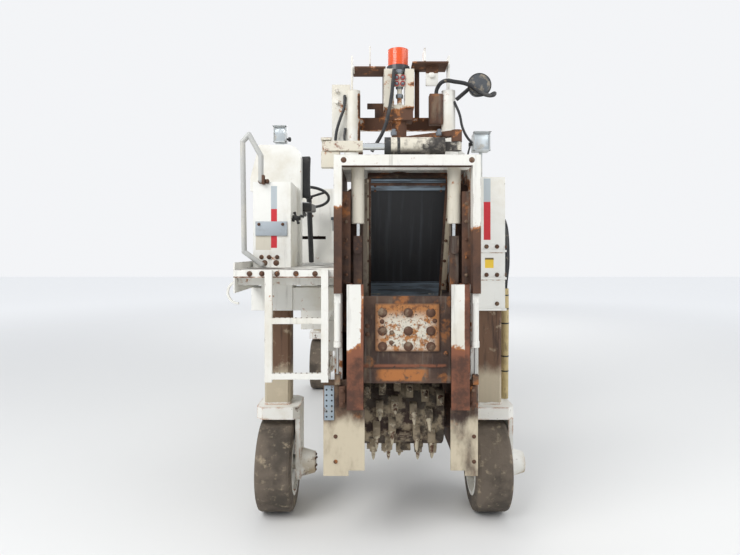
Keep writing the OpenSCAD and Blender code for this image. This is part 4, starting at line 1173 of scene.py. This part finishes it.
def mast_lines():
    """Cables and hoses clipped along the conveyor carrier."""
    cable = patched("cable_black", srgb(26, 27, 30), 0.5, 0.0, (), [((60, 3), 0.1)]).done(0.3)
    for name, radius, material, points in (
        ("lamp_conduit", 0.012, RUBBER, [
            (0.311, -1.862, 2.640), (0.318, -1.885, 2.680), (0.352, -1.915, 2.712), (0.420, -1.925, 2.706),
            (0.500, -1.920, 2.690), (0.580, -1.915, 2.640), (0.650, -1.900, 2.632), (0.664, -1.880, 2.650),
            (0.640, -1.862, 2.640)]),
        ("mast_cable_left", 0.009, cable, [
            (-0.243, -1.868, 2.640), (-0.248, -1.880, 2.560), (-0.268, -1.885, 2.500),
            (-0.292, -1.885, 2.420), (-0.302, -1.884, 2.340), (-0.316, -1.890, 2.250),
            (-0.318, -1.890, 2.195)]),
        ("mast_cable_low", 0.008, cable, [
            (-0.240, -1.868, 2.440), (-0.244, -1.885, 2.370), (-0.226, -1.893, 2.315),
            (-0.192, -1.905, 2.330)]),
        ("hoist_hose_left", 0.011, RUBBER, [
            (0.052, -1.985, 2.760), (0.046, -1.990, 2.700), (0.036, -1.990, 2.600), (0.018, -1.985, 2.500),
            (-0.012, -1.980, 2.400), (-0.050, -1.975, 2.330), (-0.080, -1.970, 2.280)]),
        ("valve_line", 0.008, cable, [
            (0.420, -1.880, 2.600), (0.452, -1.886, 2.520), (0.470, -1.886, 2.440), (0.500, -1.885, 2.380),
            (0.530, -1.875, 2.350)]),
        ("light_cable_right", 0.006, cable, [
            (0.532, -1.792, 2.345), (0.520, -1.792, 2.300), (0.512, -1.790, 2.250), (0.515, -1.790, 2.200)]),
    ):
        body = "conveyor_swivel" if name == "hoist_hose_left" else "frame"
        line_piece(name, points, radius, material, body)


def king_pipe_fittings():
    """Union nuts on the grey pipe beside the king pin, and ports of the slewing cylinder."""
    unions = bmesh.new()
    for z in (2.600, 2.655, 2.745):
        turned(unions, [(0, 0.0135), (0, 0.020), (0.004, 0.022), (0.020, 0.022), (0.024, 0.020),
                        (0.024, 0.0135), (0, 0.0135)], 6, (0.085, -1.945, z), UP, capped=False)
    piece("pipe_unions", unions, STEEL, "conveyor_swivel")
    ports = bmesh.new()
    for x in (0.044, 0.300):
        turned(ports, [(0, 0.017), (0.020, 0.017), (0.022, 0.011), (0.034, 0.011)], 6, (x, -2.105, 2.349), UP)
    piece("cylinder_ports", ports, STEEL, "slew_cylinder_barrel")


# Pieces of the other sides


def seat_pad(name, size, crown, turn, at):
    """A crowned vinyl pad whose sides pull in between its corners, with two pressed channels along its top.
    """
    shape = bmesh.new()
    bmesh.ops.create_cube(shape, size=1.0)
    bmesh.ops.subdivide_edges(shape, edges=shape.edges[:], cuts=7, use_grid_fill=True)
    width, depth, thick = size
    for v in shape.verts:
        x, y, z = v.co
        rise = (1 - (2 * x) ** 4) * (1 - (2 * y) ** 4)
        channel = 0.004 * (1 if abs(abs(x) - 0.18) < 0.05 else 0)
        pull = 1 - 0.03 * (1 - (2 * y) ** 2) * (abs(x) * 2) ** 2
        pull_y = 1 - 0.03 * (1 - (2 * x) ** 2) * (abs(y) * 2) ** 2
        lift = crown * rise - channel if z > 0.45 else 0
        v.co = (x * width * pull, y * depth * pull_y, z * (thick - crown) - crown / 2 + lift)
    bmesh.ops.bevel(shape, geom=[e for e in shape.edges if e.calc_face_angle(0) > 1.0], offset=0.012,
                    segments=3, profile=0.5, affect="EDGES", material=-1)
    place = Matrix.Translation(at) @ Matrix.Rotation(math.radians(turn), 4, "X")
    bmesh.ops.transform(shape, matrix=place, verts=shape.verts[:])
    pad = piece(name, shape, VINYL, "frame", 80)
    rounding = pad.modifiers.new("rounding", "SUBSURF")
    rounding.levels = rounding.render_levels = 1
    return pad


def seat():
    """The operator's seat: two pads on a pressed pan, slides and a pedestal."""
    left, near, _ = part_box("seat")[0]
    right = left + SEAT_WIDTH
    middle = (left + right) / 2
    width = SEAT_WIDTH - 0.012
    cushion = seat_pad("seat_cushion", (width, 0.315, 0.076), 0.014, 2, (middle, near + 0.175, 2.020))
    back = seat_pad("seat_back", (width - 0.02, 0.300, 0.050), 0.010, 88, (middle, near + 0.030, 2.222))
    shape = bmesh.new()
    for inset, first, last, bottom, top, edge in (
        (0.100, 0.085, 0.225, 1.5905, 1.600, 0.003),
        (0.075, 0.020, 0.300, 1.955, 1.982, 0.006),
        (0.130, 0.004, 0.014, 1.960, 2.200, 0.003),
    ):
        block(shape, (left + inset, near + first, bottom), (right - inset, near + last, top), edge)
    block(shape, (left + 0.118, near + 0.105, 1.598), (right - 0.118, near + 0.205, 1.958), 0.010, 3)
    for x in (left + 0.095, right - 0.107):
        block(shape, (x, near + 0.010, 1.945), (x + 0.012, near + 0.310, 1.957), 0.003)
    stand = piece("seat_stand", shape, BLACK)
    for part in (cushion, back, stand):
        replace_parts(part, "seat")


def shouldered(half, low, high, radius):
    """Outline of a cover that is open below: upright sides and a flat top with rounded shoulders."""
    turns = [math.radians(15 * step) for step in range(7)]
    right = [(half - radius + radius * math.cos(a), high - radius + radius * math.sin(a)) for a in turns]
    return [(half, low)] + right + [(-x, z) for x, z in reversed(right)] + [(-half, low)]


def mirrored_block(shape, side, first, last, low, high, edge, segments=2):
    """A block on the left (-1) or right (1) side: its span out from the middle, then its (y, z) corners."""
    left, right = sorted((side * first, side * last))
    block(shape, (left, *low), (right, *high), edge, segments)


def engine_cover():
    """Sheet-steel engine cover with rounded shoulders, side and front vents and its hinge knuckles; the
    vents' openings are black strips of painted shade.
    """
    low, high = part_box("hood")
    half, top = high[0], high[2]
    rear = low[1]
    outer = shouldered(half, COVER_BOTTOM, top, COVER_SHOULDER)
    inner = shouldered(half - COVER_SHEET, COVER_BOTTOM, top - COVER_SHEET, COVER_SHOULDER - COVER_SHEET)
    shape = bmesh.new()
    pressed(shape, outer + inner[::-1], rear, COVER_FRONT, edge=0.003)
    for start in (rear, COVER_FRONT - COVER_SHEET):
        pressed(shape, inner, start, start + COVER_SHEET, edge=0.0015)
    for x in (-0.370, 0.370):
        turned(shape, rod(0.010, 0.040), 20, (x, COVER_HINGE, 1.650), RIGHT)
        block(shape, (x, COVER_FRONT - 0.002, COVER_BOTTOM), (x + 0.040, COVER_HINGE, 1.690), 0.0015)
    # Painted shade: the side and front vent openings are thin black strips on the cover beside each louvre,
    # not cut through.
    vent_shades = bmesh.new()
    for side in (-1, 1):
        for step in range(10):
            y = rear + 0.300 + 0.060 * step
            mirrored_block(vent_shades, side, half - 0.002, half + 0.0012, (y, 1.800), (y + 0.026, 2.060), 0.0008)
            mirrored_block(shape, side, half - 0.002, half + 0.007,
                           (y + 0.02, 1.790), (y + 0.03, 2.070), 0.003)
    for step in range(7):
        z = 1.760 + 0.050 * step
        block(vent_shades, (-0.380, COVER_FRONT - 0.002, z), (0.380, COVER_FRONT + 0.0012, z + 0.024), 0.0008)
        block(shape, (-0.390, COVER_FRONT - 0.002, z + 0.018), (0.390, COVER_FRONT + 0.007, z + 0.028), 0.003)
    paint = machine_paint("hood_paint", rust=0.15, grime=0.3, spread=(2, 9, 6))
    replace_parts(piece("engine_cover", shape, paint, "engine_hood"), "hood")
    piece("cover_vents", vent_shades, BLACK, "engine_hood")


def cover_fittings():
    """Latches, hinges and lift handles of the engine cover and its side panels."""
    hood = bmesh.new()
    base = bmesh.new()
    for side, outward in ((-1, LEFT), (1, RIGHT)):
        for y in (0.46, 1.30):
            mirrored_block(hood, side, COVER_SIDE, LATCH_FACE, (y, 1.672), (y + 0.070, 1.722), 0.002)
            turned(hood, [(0, 0.012), (0.006, 0.012), (0.008, 0.008)], 14,
                   (side * LATCH_FACE, y + 0.035, 1.697), outward)
        for y in (1.62, 1.78):
            turned(hood, rod(0.010, 0.022), 12, (side * 0.559, y, 1.90), outward)
        mirrored_block(hood, side, 0.575, 0.587, (1.605, 1.892), (1.795, 1.908), 0.005, 3)
        for y in (0.62, 1.06):
            mirrored_block(base, side, COVER_SIDE, 0.5635, (y, 1.585), (y + 0.055, 1.640), 0.0015)
    piece("hood_latches", hood, STEEL, "engine_hood")
    piece("panel_plates", base, STEEL)


def tank_fittings():
    """Ribbed filler caps on the side tanks and the bolts of the water tank."""
    shape = bmesh.new()
    for x in (-FILLER_X, FILLER_X):
        turned(shape, [(0, 0.047), (0.004, 0.049), (0.020, 0.049), (0.026, 0.044), (0.028, 0.020)], 20,
               (x, FILLER_Y, 1.5905), UP)
        for turn in range(8):
            angle = math.radians(45 * turn)
            rib = (x + RIB_CIRCLE * math.cos(angle), FILLER_Y + RIB_CIRCLE * math.sin(angle), 1.5935)
            turned(shape, [(0, 0.004), (0.017, 0.004), (0.018, 0)], 8, rib, UP)
    piece("filler_caps", shape, BLACK)
    bolts("water_tank_bolts", "frame",
          (domed_head, 0.010, 0.008, grid((-0.60, -0.30, 0.0, 0.30, 0.60), -0.3495, (1.64, 2.00)), BACK))


def motor_bolts():
    """Ring of heads on each inward wheel motor cap."""
    for side, x, outward in (("rear_left", -0.451, RIGHT), ("front_left", -0.461, RIGHT),
                             ("front_right", 0.461, LEFT)):
        low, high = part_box("tyre_" + side)
        y, z = (low[1] + high[1]) / 2, (low[2] + high[2]) / 2
        angles = [math.radians(60 * turn + 15) for turn in range(6)]
        ring = [(x, y + MOTOR_CIRCLE * math.cos(a), z + MOTOR_CIRCLE * math.sin(a)) for a in angles]
        bolts("motor_bolts_" + side, "column_" + side, (hex_head, 0.008, 0.010, ring, outward))


def ladder_grips():
    """Raised grip beads along the tops of the ladder's rungs."""
    shape = bmesh.new()
    for at in grid([-0.620 + 0.030 * step for step in range(9)], -2.173, (1.0179, 1.3239)):
        turned(shape, [(0, 0.006), (0.0022, 0.004), (0.0025, 0)], 8, at, UP)
    piece("rung_grips", shape, BOLT)


aim_camera()
STEEL = plain_steel("worn_fitting_steel", STEEL_GREY, 0.45, 0.8)
BLACK = patched("black_plastic", srgb(30, 30, 31), 0.55, 0.0,
                [((12, 6), 0.5, 0.75, 0.4, srgb(66, 62, 57), 0.75)], [((90, 3), 0.2)]).done()
BOLT = patched("bolt_steel", RUST_BROWN, 0.75, 0.2, (
    ((14, 6), 0.52, 0.68, 0.7, srgb(140, 124, 102), 0.7, 0.0),
    ((22, 6, 0.7), 0.58, 0.66, 1, RUST_ORANGE, 0.9, 0.0),
), [((120, 4), 0.2)]).done(0.4)
RUBBER = patched("hose_rubber", BLACK_RUBBER, 0.55, 0.0, (
    ((16, 5, 0.6, (1, 1, 0.3)), 0.5, 0.7, 1, srgb(74, 73, 71), 0.75),
    ((40, 4), 0.6, 0.72, 0.5, ROAD_DUST, 0.9),
), [((90, 3), 0.15)]).done(0.3)
vinyl = patched("seat_vinyl", srgb(38, 38, 40), 0.48, 0.0,
                [((7, 6), 0.48, 0.7, 0.6, srgb(86, 80, 72), 0.7)])
vinyl.raise_by(vinyl.cells(420), 0.08).raise_by(vinyl.noise(20, 4), 0.1)
VINYL = vinyl.done(0.35, Coat_Weight=0.08)
LAMP_PAINT = machine_paint("lamp_housing_paint", rust=0.2, grime=0.4, spread=(6, 2, 7),
                           base=srgb(198, 202, 202))
for make in (
    hoses, light_and_floor, dress_frame, milling_drum, scraper_and_sleeve_bolts, wall_flanges, chute_flanges,
    mast_fittings, hoist_plate, edge_plate_blocks, left_box_fittings, water_tap, work_lights, lamp_details,
    mast_lines, king_pipe_fittings, seat, engine_cover, cover_fittings, tank_fittings, motor_bolts,
    ladder_grips,
):
    make()
